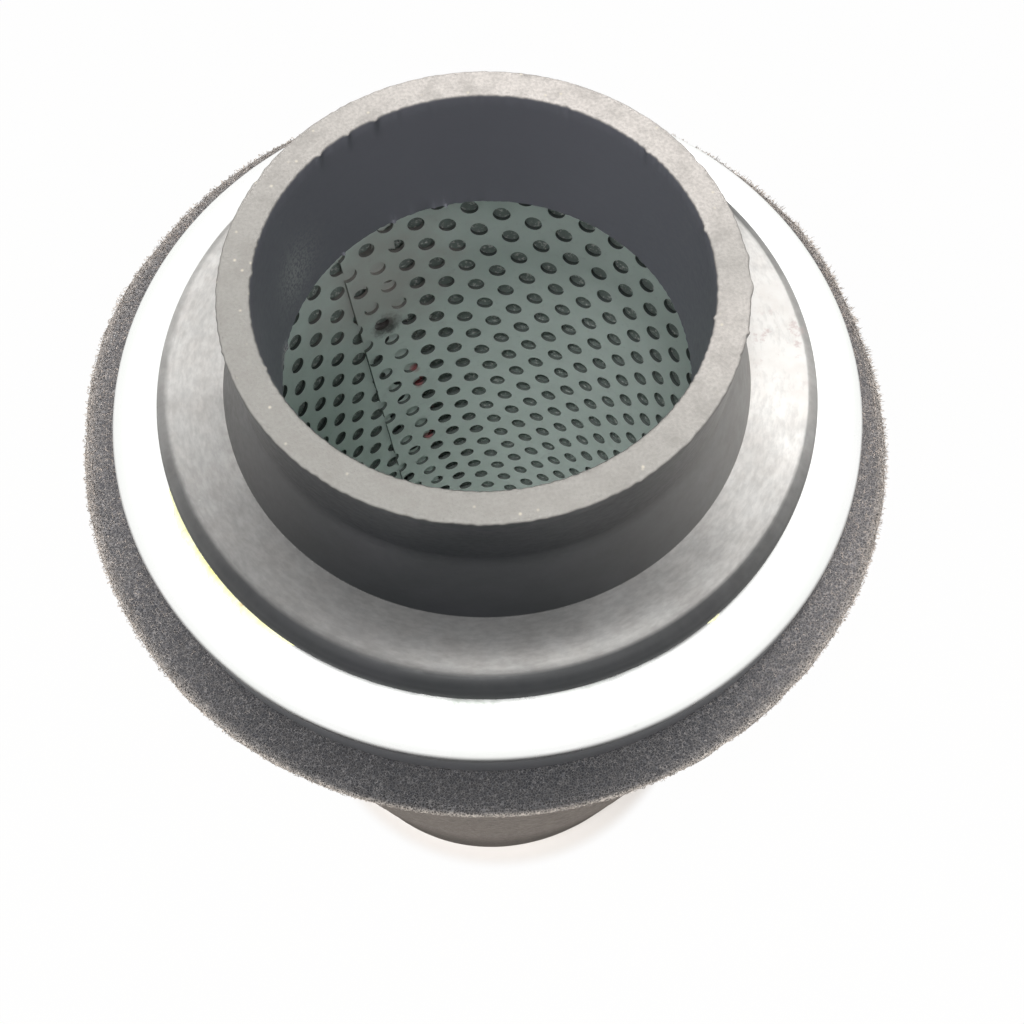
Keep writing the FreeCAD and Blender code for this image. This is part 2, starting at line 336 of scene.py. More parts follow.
def noise(tree, scale, detail=4.0, roughness=0.55, vector=None):
    """Fractal noise on the object's own coordinates, or on a given vector."""
    vector = vector or own_place(tree)
    inputs = {"Vector": vector, "Scale": scale, "Detail": detail, "Roughness": roughness}
    return add_node(tree, "ShaderNodeTexNoise", inputs).outputs[0]


def attribute(tree, name):
    """A number stored on the mesh's vertices."""
    return add_node(tree, "ShaderNodeAttribute", attribute_name=name).outputs["Fac"]


def bump(tree, height, depth, strength=1.0, normal=None):
    """A normal tilted by a height from 0 to 1 that stands for a depth in metres."""
    inputs = {"Height": height, "Distance": depth, "Strength": strength}
    if normal:
        inputs["Normal"] = normal
    return add_node(tree, "ShaderNodeBump", inputs).outputs["Normal"]


def spot(tree, centre, size, softness=0.5, wobble=None):
    """A round mask about a point of the object, from 1 inside to 0 outside. Noise, where it
    is given, makes its edge uneven."""
    ends = {0: own_place(tree), 1: centre}
    away = add_node(tree, "ShaderNodeVectorMath", ends, operation="DISTANCE").outputs[1]
    if wobble:
        away = calculate(tree, "ADD", away, times(tree, calculate(tree, "SUBTRACT", wobble, 0.5), size))
    return ramp(tree, away, size * (1 - softness), size, 1.0, 0.0)


def new_material(name, **constants):
    """A material with a Principled shader whose constant inputs are set on its own sockets."""
    material = bpy.data.materials.new(name)
    material.use_nodes = True
    tree = material.node_tree
    shader = tree.nodes["Principled BSDF"]
    for title, value in constants.items():
        shader.inputs[title.replace("_", " ")].default_value = value
    return material, tree, shader


def feed(tree, shader, **sockets):
    """Link results to the shader's inputs."""
    for title, socket in sockets.items():
        tree.links.new(socket, shader.inputs[title.replace("_", " ")])


# %% Shared effects as node groups


def new_group(name, inputs, outputs):
    """An empty node group with float inputs, given with their defaults, and float outputs."""
    group = bpy.data.node_groups.new(name, "ShaderNodeTree")
    for title, value in inputs.items():
        socket = group.interface.new_socket(title, in_out="INPUT", socket_type="NodeSocketFloat")
        socket.default_value = value
    for title in outputs:
        group.interface.new_socket(title, in_out="OUTPUT", socket_type="NodeSocketFloat")
    return group, group.nodes.new("NodeGroupInput"), group.nodes.new("NodeGroupOutput")


def use_group(tree, group, **values):
    """The outputs of a node that runs a group with these inputs."""
    return add_node(tree, "ShaderNodeGroup", values, node_tree=group).outputs


def make_streaks():
    """Noise stretched round the Z axis. The direction from the axis, times Length, and the
    distance from it plus the height, times Fineness, are the noise's three coordinates, so
    the pattern closes on itself after a full turn."""
    group, given, result = new_group("round_streaks", {"Length": 6, "Fineness": 2000}, ["Value"])
    x, y, z = add_node(group, "ShaderNodeSeparateXYZ", {0: own_place(group)}).outputs
    radius = length_of(group, add_node(group, "ShaderNodeCombineXYZ", {"X": x, "Y": y}).outputs[0])
    parts = [times(group, calculate(group, "DIVIDE", part, radius), given.outputs["Length"])
             for part in (x, y)]
    parts.append(times(group, calculate(group, "ADD", radius, z), given.outputs["Fineness"]))
    vector = add_node(group, "ShaderNodeCombineXYZ", dict(enumerate(parts))).outputs[0]
    group.links.new(noise(group, 1.0, 3.0, 0.6, vector), result.inputs["Value"])
    return group


def make_specks():
    """Scattered round specks: each Voronoi cell has a centre and a random value, and a speck
    shows near the centre of the few cells whose value is over 1 - Share."""
    group, given, result = new_group("pale_specks", {"Scale": 900, "Size": 0.25, "Share": 0.1}, ["Mask"])
    inputs = {"Vector": own_place(group), "Scale": given.outputs["Scale"]}
    cells = add_node(group, "ShaderNodeTexVoronoi", inputs)
    chosen = add_node(group, "ShaderNodeSeparateXYZ", {0: cells.outputs["Color"]}).outputs[0]
    rare = calculate(group, "GREATER_THAN", chosen, calculate(group, "SUBTRACT", 1.0, given.outputs["Share"]))
    near = ramp(group, cells.outputs["Distance"], given.outputs["Size"], 0.0)
    group.links.new(times(group, rare, near), result.inputs["Mask"])
    return group


STREAKS = make_streaks()
SPECKS = make_specks()


def streaks(tree, length, fineness):
    """The shared streaks with a material's own values."""
    return use_group(tree, STREAKS, Length=length, Fineness=fineness)["Value"]


def specks(tree, scale, size, share):
    """The shared specks with a material's own values."""
    return use_group(tree, SPECKS, Scale=scale, Size=size, Share=share)["Mask"]


print("groups:", [group.name for group in bpy.data.node_groups])

# %% [markdown]
# ## The rubber neck
#
# The neck is moulded in black rubber. Its rim was trimmed after moulding: that face is
# rough, light with talc and with painted sheen that is lightest at the back, and its edges carry
# small nicks and tabs of flash. The flange is dusty; its dust is painted heavier on the right and
# the left, where it is dust and painted sheen, with painted light in a band at the front edge. The
# walls between are almost bare, with painted sheen on the right and the left, and the bore's wall
# is painted lighter as painted light.
# One turned surface holds all of it. The nicks are real geometry, because they show against
# the bright cap, and each zone of the finish is a number stored on the vertices.

# %% Neck: outline
BORE = 25.5 * MM
NECK_WALL = 3.8 * MM
NECK_LAND = 10 * MM
NECK_FLARE = 3.5 * MM
RIM_ROUND = 0.35 * MM
BELL = 2.6 * MM
FLANGE_HEIGHT = 3.0 * MM
FLANGE_ROUND = 2.2 * MM

neck_outside = BORE + NECK_WALL
crease_radius = neck_outside + NECK_FLARE
flange_top = NECK_FOOT + FLANGE_HEIGHT
land_start = RIM - NECK_LAND
flange_flat = FLANGE_RADIUS - FLANGE_ROUND
lip_start = NECK_FOOT + BELL + 0.4 * MM
above_crease = (crease_radius - 0.06 * MM, flange_top + 0.15 * MM)

neck_outline = np.vstack([
    run((BORE + BELL, NECK_FOOT), (FLANGE_RADIUS, NECK_FOOT), 4),
    run((FLANGE_RADIUS, NECK_FOOT), (FLANGE_RADIUS, flange_top - FLANGE_ROUND), 2),
    bend((flange_flat, flange_top - FLANGE_ROUND), FLANGE_ROUND, 0, 90, 14),
    run((flange_flat, flange_top), (crease_radius, flange_top), 12),
    run((crease_radius, flange_top), above_crease, 1),
    run(above_crease, (neck_outside, land_start), 8),
    run((neck_outside, land_start), (neck_outside, RIM - RIM_ROUND), 10),
    bend((neck_outside - RIM_ROUND, RIM - RIM_ROUND), RIM_ROUND, 0, 90, 4),
    run((neck_outside - RIM_ROUND, RIM), (BORE + RIM_ROUND, RIM), 14),
    bend((BORE + RIM_ROUND, RIM - RIM_ROUND), RIM_ROUND, 90, 180, 4),
    run((BORE, RIM - RIM_ROUND), (BORE, lip_start), 12),
    run((BORE, lip_start), (BORE, NECK_FOOT + BELL), 1),
    run((BORE, NECK_FOOT + BELL), (BORE + BELL, NECK_FOOT), 4),
])
print("outline points:", len(neck_outline))

# %% Neck: nicks and flash on the rim
NECK_COLUMNS = 1080
# Heading and width in degrees, and how far it reaches outwards in millimetres
OUTER_NICKS = [(3.4, 1.5, 0.24), (-4.7, 1.6, 0.30), (-16.2, 0.4, 0.26), (-22.0, 0.5, -0.15),
               (31.0, 1.2, -0.12), (150.0, 1.0, -0.15), (196.0, 0.6, 0.12), (262.0, 0.8, -0.1),
               (301.0, 0.5, 0.1)]
INNER_NICKS = [(118.0, 1.0, -0.34), (126.5, 0.8, -0.26), (136.0, 0.9, -0.3), (176.0, 0.8, -0.25),
               (204.0, 0.7, -0.15), (250.0, 0.6, -0.12), (12.0, 0.8, -0.24), (-14.0, 0.6, -0.24),
               (40.0, 0.7, -0.2), (66.0, 1.0, 0.1)]
# The same for shreds of flash along the bore's lower edge
LOWER_NICKS = [(100.5, 0.5, -0.5), (104.0, 0.4, -0.2), (117.0, 0.6, -0.4), (135.5, 0.5, -0.4),
               (171.0, 1.0, -0.25)]
WAVE_COUNT, WAVE_SIZE = 36, 0.006


def ragged(angle, nicks, seed):
    """How far an edge strays, in metres: the sum of its nicks and of a few dozen small waves
    of random phase, which together read as a hand-trimmed edge."""
    random = np.random.default_rng(seed)
    waves = random.integers(20, 170, WAVE_COUNT)
    phases = random.uniform(0, 2 * np.pi, WAVE_COUNT)
    fine = np.sin(np.outer(angle, waves) + phases).sum(axis=1) * WAVE_SIZE
    return (fine + at_heading(angle, *nicks)) * MM


neck_points, neck_angles = turned(neck_outline, NECK_COLUMNS)
near_rim = hump(neck_outline[:, 1], RIM, 0.7 * MM)[:, None]
outer_side = near_rim * hump(neck_outline[:, 0], neck_outside, 0.5 * MM)[:, None]
inner_side = near_rim * hump(neck_outline[:, 0], BORE, 0.5 * MM)[:, None]
stray = outer_side * ragged(neck_angles, OUTER_NICKS, 3) + inner_side * ragged(neck_angles, INNER_NICKS, 4)
near_foot = hump(neck_outline[:, 1], NECK_FOOT + BELL, 0.3 * MM) * (neck_outline[:, 0] < BORE + 0.1 * MM)
stray = stray + near_foot[:, None] * ragged(neck_angles, LOWER_NICKS, 5)
neck_points = grown(neck_points, neck_angles, stray)
print("largest stray of the rim:", round(float(np.abs(stray).max()) / MM, 2), "mm")

# %% Neck: zones of the finish
# Room for rounding in comparisons, and how far inside the flange's flat part its dust ends
HAIR = 0.01 * MM
DUST_INSET = 0.3 * MM

rows_radius = neck_outline[:, :1] + 0 * neck_angles
rows_height = neck_outline[:, 1:] + 0 * neck_angles
around = np.broadcast_to(neck_angles, rows_radius.shape)

on_rim = slope(rows_height, RIM - 0.25 * MM, RIM - 0.05 * MM)
on_flange = (rows_height < flange_top + HAIR) * (rows_radius > crease_radius - HAIR)
inside = (rows_radius < BORE + 1 * MM) * (rows_height < RIM - RIM_ROUND / 2)
on_wall = (rows_radius > BORE + 1 * MM) * (rows_height > flange_top + HAIR) * (1 - on_rim)
edge_wall = slope(rows_radius, FLANGE_RADIUS - 0.5 * MM, FLANGE_RADIUS - 0.2 * MM)
edge_wall = edge_wall * (rows_height < flange_top)

# Dust lies on the flange and is worn off its rounded edge. Its weight by heading, heaviest on the
# right and the left, is dust and painted sheen; a band at the front edge is painted light, and the
# dust grows a little lighter away from the crease as painted shade of the neck
to_right = at_heading(around, (4, 43, 1))
to_left = at_heading(around, (158, 46, 1))
edge_dust = 0.065 + 0.4 * to_right + 0.68 * to_left
dusty_reach = flange_flat - DUST_INSET + MM * np.maximum(0.88 * to_right, 0.6 * to_left)
fade = 0.8 * MM - 0.6 * MM * to_right
dusty = eased(np.clip((dusty_reach + fade - rows_radius) / fade, 0, 1))
flange_dust = on_flange * (edge_dust + (1 - edge_dust) * dusty)
# Painted light: a lighter band near the flange's front edge, away from the neck's shade
outer_band = hump(rows_radius, flange_flat - DUST_INSET, 2.0 * MM) * at_heading(around, (-82, 30, 0.28))
settled = 0.09 + 0.96 * to_right + 0.58 * to_left + outer_band
# Painted shade of the neck: the flange grows lighter away from the crease
settled = settled + 0.08 * (rows_radius - crease_radius) / (6 * MM)
# Painted sheen on the neck's outer wall, on the right and the left, with a little dust on the land
wall_dust = at_heading(around, (-14, 36, 0.29), (190, 30, 0.11))
wall_dust = on_wall * (wall_dust + 0.013 * slope(rows_height, land_start + 1 * MM, land_start - 1 * MM))
# Painted sheen on the trimmed rim: lightest at the back and the right
rim_tone = at_heading(around, (80, 62, 1), (-12, 36, 0.6), (145, 25, 0.08), (-74, 22, 0.12),
                      (34, 18, 0.22), (1, 9, -0.3))
# Painted light in the bore: its wall is painted lighter, more on the left and less at the back
bore_tone = 0.8 + at_heading(around, (190, 50, 0.2), (85, 48, -0.27))
drip = at_heading(around, (174, 3.5, 1)) * hump(rows_height, NECK_FOOT + BELL, 0.9 * MM)
film = at_heading(around, (156, 9, 0.4)) * hump(rows_height, NECK_FOOT + 9 * MM, 4 * MM)

# %% Neck: rubber
STAIN_PLACE = (37.5 * MM, 2 * MM, flange_top)


def make_neck_rubber():
    """Black rubber under talc. The bare wall is nearly black and the bore's wall is painted
    lighter as painted light; the trimmed rim, with painted sheen, and the dusty flange, with dust
    and painted sheen, are mixed over it, broken up by streaks that run round, mottling and specks."""
    material, tree, shader = new_material("neck_rubber", Roughness=0.5, Specular_IOR_Level=0.22)
    rim, grime = attribute(tree, "rim"), attribute(tree, "residue")
    fine = streaks(tree, 26, 1900)
    broad = streaks(tree, 3, 420)
    blotches = noise(tree, 330, 5, 0.62)
    grain = noise(tree, 2600, 3, 0.6)
    bare = between(tree, ramp(tree, broad, 0.3, 0.75), (25, 29, 32), (34, 36, 40))
    # Painted light: the bore's wall is painted a lighter grey than bare rubber
    bare = tint(tree, bare, attribute(tree, "inside"), 1, (139, 140, 149))
    talc = between(tree, ramp(tree, blotches, 0.3, 0.7), (254, 252, 248), (245, 241, 236))
    wiped = ramp(tree, fine, 0.3, 0.72, 0.86, 1.06)
    cloudy = ramp(tree, noise(tree, 130, 4, 0.6), 0.3, 0.7, 0.88, 1.08)
    # Dust on the flange, whose weight by heading is partly painted sheen
    cover = times(tree, times(tree, attribute(tree, "flange"), attribute(tree, "settled")), wiped)
    cover = calculate(tree, "ADD", times(tree, cover, cloudy), attribute(tree, "wall"))
    # Painted sheen: the trimmed rim is painted lighter by heading
    trimmed = between(tree, attribute(tree, "rim_tone"), (168, 166, 161), (233, 226, 220))
    trimmed = tint(tree, trimmed, ramp(tree, grain, 0.3, 0.7, 0, 0.35), 1, (150, 147, 142))
    trimmed = tint(tree, trimmed, ramp(tree, blotches, 0.42, 0.7, 0, 0.45), 1, (156, 152, 147))
    colour = mix(tree, rim, mix(tree, cover, bare, talc), trimmed)
    stained = ramp(tree, noise(tree, 420, 5, 0.7), 0.56, 0.68)
    stained = times(tree, stained, spot(tree, STAIN_PLACE, 9 * MM, 0.8))
    colour = tint(tree, colour, stained, 0.6, (206, 186, 182))
    colour = tint(tree, colour, grime, ramp(tree, grain, 0.42, 0.56), (226, 228, 224))
    colour = tint(tree, colour, times(tree, specks(tree, 1100, 0.32, 0.10), rim), 0.75, (240, 232, 214))
    colour = tint(tree, colour, specks(tree, 520, 0.11, 0.06), 0.5, (190, 188, 184))
    matt = largest(tree, rim, attribute(tree, "edge_wall"))
    rough = calculate(tree, "ADD", ramp(tree, fine, 0.25, 0.8, 0.36, 0.52), times(tree, matt, 0.4))
    scuffs = bump(tree, fine, 0.03 * MM, 0.5)
    normal = bump(tree, times(tree, grain, rim), 0.16 * MM, 0.8, scuffs)
    feed(tree, shader, Base_Color=colour, Roughness=rough, Normal=normal)
    return material


neck_mesh = grid_mesh("neck_rubber", neck_points)
store(neck_mesh, rim=on_rim, flange=flange_dust, settled=settled, wall=wall_dust, rim_tone=rim_tone,
      inside=inside * bore_tone, residue=inside * (drip + film), edge_wall=edge_wall)
add_piece("neck_rubber", neck_mesh, make_neck_rubber(), "rubber", "neck_boot")

# %% [markdown]
# ## The pressed caps
#
# Each cap is drawn from one sheet: a flat face, a rounded shoulder and a skirt. The sheet is
# bright zinc plate, so what matters is a clean curve for it to mirror. A turned surface with
# many columns gives that, and the finish adds only faint rolling lines, a few duller patches,
# a greenish patch by the neck and painted dark reflection on the upper cap's skirt.

# %% Caps: zinc plate


def make_zinc_plate():
    """Bright plated steel: a pale metal whose roughness varies in patches and in fine lines
    that run round. The mesh says where it is dull, as inside the closed end, where the upper
    cap's skirt is painted dark as a painted reflection of the dark foam, and where a greenish
    patch lies on the face next to the flange's front."""
    material, tree, shader = new_material("zinc_plate")
    cloudy = noise(tree, 60, 4, 0.6)
    lines = streaks(tree, 5, 1500)
    tarnish, dull = attribute(tree, "tarnish"), attribute(tree, "dull")
    fingers = ramp(tree, noise(tree, 700, 5, 0.7), 0.3, 0.8)
    colour = between(tree, ramp(tree, cloudy, 0.3, 0.7), (255, 255, 254), (250, 252, 249))
    colour = tint(tree, colour, specks(tree, 260, 0.12, 0.1), 0.12, (150, 150, 146))
    # Painted reflection: the upper cap's skirt is painted dark, where it mirrors the dark foam
    colour = tint(tree, colour, tarnish, 0.86, (96, 97, 103))
    # A greenish-grey patch on the face, next to the flange's front
    colour = tint(tree, colour, attribute(tree, "smudge"), fingers, (176, 186, 174))
    rough = ramp(tree, cloudy, 0.25, 0.75, 0.2, 0.34)
    rough = largest(tree, rough, times(tree, dull, 0.7), times(tree, tarnish, 0.5))
    metal = calculate(tree, "SUBTRACT", 1.0, dull)
    rolled = bump(tree, lines, 0.01 * MM, 0.35)
    feed(tree, shader, Base_Color=colour, Metallic=metal, Roughness=rough, Normal=rolled)
    return material


ZINC_PLATE = make_zinc_plate()
CAP_COLUMNS = 720

# %% Caps: the ring under the neck
CAP_HOLE = BORE + 4.5 * MM
CAP_SHOULDER = 2.4 * MM
cap_flat = CAP_RADIUS - CAP_SHOULDER
cap_bend = CAP_FACE - CAP_SHOULDER
cap_inside = CAP_RADIUS - CAP_SHEET

top_cap_outline = np.vstack([
    run((CAP_HOLE, CAP_FACE - CAP_SHEET), (cap_flat, CAP_FACE - CAP_SHEET), 4),
    bend((cap_flat, cap_bend), CAP_SHOULDER - CAP_SHEET, 90, 0, 10),
    run((cap_inside, cap_bend), (cap_inside, SKIRT_EDGE), 3),
    run((cap_inside, SKIRT_EDGE), (CAP_RADIUS, SKIRT_EDGE), 2),
    run((CAP_RADIUS, SKIRT_EDGE), (CAP_RADIUS, cap_bend), 10),
    bend((cap_flat, cap_bend), CAP_SHOULDER, 0, 90, 14),
    run((cap_flat, CAP_FACE), (CAP_HOLE, CAP_FACE), 24),
    run((CAP_HOLE, CAP_FACE), (CAP_HOLE, CAP_FACE - CAP_SHEET), 1),
])
cap_points, cap_angles = turned(top_cap_outline, CAP_COLUMNS)
cap_mesh = grid_mesh("top_cap_plate", cap_points)
rows_radius, rows_height = top_cap_outline[:, :1], top_cap_outline[:, 1:]
# Where the upper cap's skirt gets its painted dark reflection
on_skirt = slope(rows_height, cap_bend + 0.5 * MM, cap_bend - 1 * MM) * (rows_radius > cap_flat)
on_face = (rows_height > CAP_FACE - HAIR) * (rows_radius > FLANGE_RADIUS)
# Headings of the greenish patch by the flange's front
touched = np.maximum(at_heading(cap_angles, (-95, 6, 1)), at_heading(cap_angles, (-75, 5, 0.5)))
store(cap_mesh, tarnish=on_skirt + 0 * cap_angles,
      smudge=on_face * hump(rows_radius, FLANGE_RADIUS, 1.8 * MM) * touched)
add_piece("top_cap_plate", cap_mesh, ZINC_PLATE, "cap_steel", "top_cap")

# %% Caps: the closed dish at the bottom
LOWER_SHOULDER = 2.0 * MM
PANEL_RADIUS = 22 * MM
PANEL_DEPTH = 1.5 * MM
lower_flat = LOWER_RADIUS - LOWER_SHOULDER
lower_inside = LOWER_RADIUS - CAP_SHEET
panel_foot = PANEL_RADIUS + PANEL_DEPTH


def close_poles(mesh):
    """Merge the points that meet on the axis, so that each pole is one vertex."""
    work = bmesh.new()
    work.from_mesh(mesh)
    bmesh.ops.remove_doubles(work, verts=work.verts, dist=1e-7)
    bmesh.ops.dissolve_degenerate(work, edges=work.edges, dist=1e-7)
    work.to_mesh(mesh)
    work.free()


bottom_cap_outline = np.vstack([
    run((0, PANEL_DEPTH), (PANEL_RADIUS, PANEL_DEPTH), 6),
    run((PANEL_RADIUS, PANEL_DEPTH), (panel_foot, 0), 4),
    run((panel_foot, 0), (lower_flat, 0), 6),
    bend((lower_flat, LOWER_SHOULDER), LOWER_SHOULDER, -90, 0, 12),
    run((LOWER_RADIUS, LOWER_SHOULDER), (LOWER_RADIUS, LOWER_SKIRT_EDGE), 4),
    run((LOWER_RADIUS, LOWER_SKIRT_EDGE), (lower_inside, LOWER_SKIRT_EDGE), 2),
    run((lower_inside, LOWER_SKIRT_EDGE), (lower_inside, LOWER_SHOULDER), 3),
    bend((lower_flat, LOWER_SHOULDER), LOWER_SHOULDER - CAP_SHEET, 0, -90, 8),
    run((lower_flat, CAP_SHEET), (panel_foot, CAP_SHEET), 4),
    run((panel_foot, CAP_SHEET), (PANEL_RADIUS, PANEL_DEPTH + CAP_SHEET), 4),
    run((PANEL_RADIUS, PANEL_DEPTH + CAP_SHEET), (0, PANEL_DEPTH + CAP_SHEET), 6),
    [(0, PANEL_DEPTH + CAP_SHEET)],
])
dish_points, _ = turned(bottom_cap_outline, CAP_COLUMNS // 2)
dish_mesh = grid_mesh("bottom_cap_plate", dish_points, closed_rows=False)
close_poles(dish_mesh)
dish_flat = np.array([corner.co for corner in dish_mesh.vertices])
dish_radius = np.hypot(dish_flat[:, 0], dish_flat[:, 1])
store(dish_mesh, dull=(dish_radius < lower_inside) & (dish_flat[:, 2] > CAP_SHEET * 0.9))
add_piece("bottom_cap_plate", dish_mesh, ZINC_PLATE, "cap_steel", "bottom_cap")

# %% [markdown]
# ## The perforated tube
#
# The tube is a sheet that was punched flat, rolled into a cone and lapped at its seam. A
# cone unrolls without stretching into a sector of a ring, so the holes are laid out there
# as a plain triangular pattern: level rows in the middle of the sector lean more and more
# towards its ends, as they do on the real tube. Each hole brings its own hexagon of sheet.
# The hexagons are cut along the sheet's four edges, rolled up, and given their thickness.
# Where the sheet overlaps, both layers keep their own holes, which then show as crescents.

# %% Tube: the developed sheet
HOLE_PITCH = 5.0 * MM
HOLE_RADIUS = 1.36 * MM
RING_POINTS = 18
TUBE_EASE = 0.13 * MM
# In degrees: where the seam is, how far the sheet turns, and where its rows lie level
SEAM_HEADING = 126.0
SHEET_TURN = 374.5
LEVEL_HEADING = -82.1
# Where the pattern starts, as a share of the step between rows and of the pitch
ROW_SHIFT = 0.404
COLUMN_SHIFT = 0.691

tube_inside = TUBE_OUTSIDE - TUBE_SHEET - TUBE_EASE
apex_reach = tube_inside / math.sin(TUBE_TAPER)
low_reach = apex_reach - (TUBE_HIGH - TUBE_LOW) / math.cos(TUBE_TAPER)
apex_height = TUBE_HIGH - apex_reach * math.cos(TUBE_TAPER)
row_step = HOLE_PITCH * math.sqrt(3) / 2

# How far the sheet's first stretch lies too high, in millimetres, at headings in degrees
SHEET_RISE = np.array([
    (-60, 0.0), (10, 0.9), (35, 0.85), (44, 0.25), (50, -0.08), (56, -0.3), (65, -0.42),
    (74, -0.32), (83, -0.06), (89, 0.1), (95, 0.5), (101, 1.02), (107, 1.4), (113, 1.6),
    (119, 1.85), (126, 2.0),
])
# The height at which that holds, and by how much of itself it grows for each metre above
RISE_LEVEL, RISE_GROWTH = 95 * MM, 9
# The last third: where it begins and is complete, and its moves as a share of the distance
# from a level of the tube, with a constant part
ASKEW_FROM, ASKEW_TO = -15 * MM, 45 * MM
SIDEWAYS_SHARE, SIDEWAYS_LEVEL, SIDEWAYS_MORE = -0.0706, 88.5 * MM, -0.55 * MM
LENGTHWISE_SHARE, LENGTHWISE_LEVEL, LENGTHWISE_MORE = 0.018, 95 * MM, -0.2 * MM


def hexagon_cells():
    """Points and quads of a sheet of hexagons with a round hole in each. Around a hole
    centre, ring point k lies at angle k * 360 / n, at the hole's radius or on the hexagon,
    whose edge at angle a is half a pitch / cos(a - the nearest side's normal) away."""
    rows = np.arange(math.floor(low_reach * 0.85 / row_step), math.ceil(apex_reach / row_step) + 1)
    widest = apex_reach * math.sin(math.radians(SEAM_HEADING - LEVEL_HEADING) * math.sin(TUBE_TAPER))
    columns = np.arange(-math.ceil(widest / HOLE_PITCH) - 1, math.ceil(widest / HOLE_PITCH) + 2)
    row, column = np.meshgrid(rows, columns, indexing="ij")
    across = (column + COLUMN_SHIFT + 0.5 * (row % 2)) * HOLE_PITCH
    along = (row + ROW_SHIFT) * row_step
    centres = np.stack([across.ravel(), along.ravel()], axis=1)
    angle = 2 * np.pi * (np.arange(RING_POINTS) + 0.5) / RING_POINTS
    to_side = (angle + np.pi / 6) % (np.pi / 3) - np.pi / 6
    ring = np.stack([np.cos(angle), np.sin(angle)], axis=1)
    hole = centres[:, None] + HOLE_RADIUS * ring
    edge = centres[:, None] + (HOLE_PITCH / 2 / np.cos(to_side))[:, None] * ring
    points = np.concatenate([hole, edge], axis=1).reshape(-1, 2)
    k = np.arange(RING_POINTS)
    after = (k + 1) % RING_POINTS
    cell = np.stack([k, k + RING_POINTS, after + RING_POINTS, after], axis=1)
    quads = cell[None] + 2 * RING_POINTS * np.arange(len(centres))[:, None, None]
    return points, quads.reshape(-1, 4)


def lie_askew(points):
    """The sheet's last third lies slightly askew, as on the real tube: eased in across the
    sheet, a point moves sideways and lengthwise by shares of its distance from one level.
    Then each point moves up the cone by the rise for its heading, which grows with height."""
    across, along = points[:, 0], points[:, 1]
    share = eased(slope(across, ASKEW_FROM, ASKEW_TO))
    level = apex_height + along * math.cos(TUBE_TAPER)
    sideways = SIDEWAYS_SHARE * (level - SIDEWAYS_LEVEL) + SIDEWAYS_MORE
    lengthwise = LENGTHWISE_SHARE * (level - LENGTHWISE_LEVEL) + LENGTHWISE_MORE
    turn = np.arctan2(across, along)
    heading = LEVEL_HEADING - np.degrees(turn) / math.sin(TUBE_TAPER)
    rise = np.interp(heading, *SHEET_RISE.T) * MM * (1 + RISE_GROWTH * (level - RISE_LEVEL))
    up_the_cone = rise[:, None] * np.stack([np.sin(turn), np.cos(turn)], axis=1)
    return points + share[:, None] * np.stack([sideways, lengthwise], axis=1) + up_the_cone


sheet_points, sheet_quads = hexagon_cells()
sheet_points = lie_askew(sheet_points)
print("hexagons before cutting:", len(sheet_quads) // RING_POINTS)


def clip_and_merge(points, quads, turns, reaches):
    """Carry the flat sheet to (turn about the apex, reach from it), where its four edges are
    straight lines, merge the hexagons' shared points and cut off what lies past the edges."""
    turn = np.arctan2(points[:, 0], points[:, 1]) * apex_reach
    reach_now = np.hypot(points[:, 0], points[:, 1])
    polar = np.stack([turn, reach_now, 0 * turn], axis=1)
    mesh = fill_mesh("sheet", polar, quads)
    work = bmesh.new()
    work.from_mesh(mesh)
    bmesh.ops.remove_doubles(work, verts=work.verts, dist=0.002 * MM)
    cuts = [((turns[0] * apex_reach, 0, 0), (-1, 0, 0)), ((turns[1] * apex_reach, 0, 0), (1, 0, 0)),
            ((0, reaches[0], 0), (0, -1, 0)), ((0, reaches[1], 0), (0, 1, 0))]
    for place, beyond in cuts:
        everything = work.verts[:] + work.edges[:] + work.faces[:]
        bmesh.ops.bisect_plane(work, geom=everything, dist=1e-7, plane_co=place, plane_no=beyond,
                               clear_outer=True)
    work.to_mesh(mesh)
    work.free()
    return mesh


turn_start = -math.radians(SEAM_HEADING - LEVEL_HEADING) * math.sin(TUBE_TAPER)
turn_end = turn_start + math.radians(SHEET_TURN) * math.sin(TUBE_TAPER)
tube_mesh = clip_and_merge(sheet_points, sheet_quads, (turn_start, turn_end), (low_reach, apex_reach))
print("sheet vertices after cutting:", len(tube_mesh.vertices))

# %% Tube: rolling the sheet
LAP_STEP = TUBE_SHEET + 0.06 * MM
# In degrees: how far the sheet overlaps, and the stretch in which it eases outwards again
LAP_TURN = SHEET_TURN - 360
LAP_EASE = 22


def roll_up(mesh):
    """A point at turn t and reach q comes to radius q sin(taper) and height q cos(taper)
    over the apex, at a heading that runs backwards by t / sin(taper). The first stretch of
    the sheet lies one thickness further in, so that the last stretch can lap over it."""
    flat = np.zeros(len(mesh.vertices) * 3, np.float32)
    mesh.vertices.foreach_get("co", flat)
    flat = flat.reshape(-1, 3)
    turn = flat[:, 0] / apex_reach
    from_seam = np.degrees((turn - turn_start) / math.sin(TUBE_TAPER))
    inset = LAP_STEP * (1 - eased(slope(from_seam, LAP_TURN, LAP_TURN + LAP_EASE)))
    radius = flat[:, 1] * math.sin(TUBE_TAPER) - inset
    heading = math.radians(LEVEL_HEADING) - turn / math.sin(TUBE_TAPER)
    height = apex_height + flat[:, 1] * math.cos(TUBE_TAPER)
    mesh.vertices.foreach_set("co", round_axis(radius, heading, height).astype(np.float32).ravel())
    mesh.update()


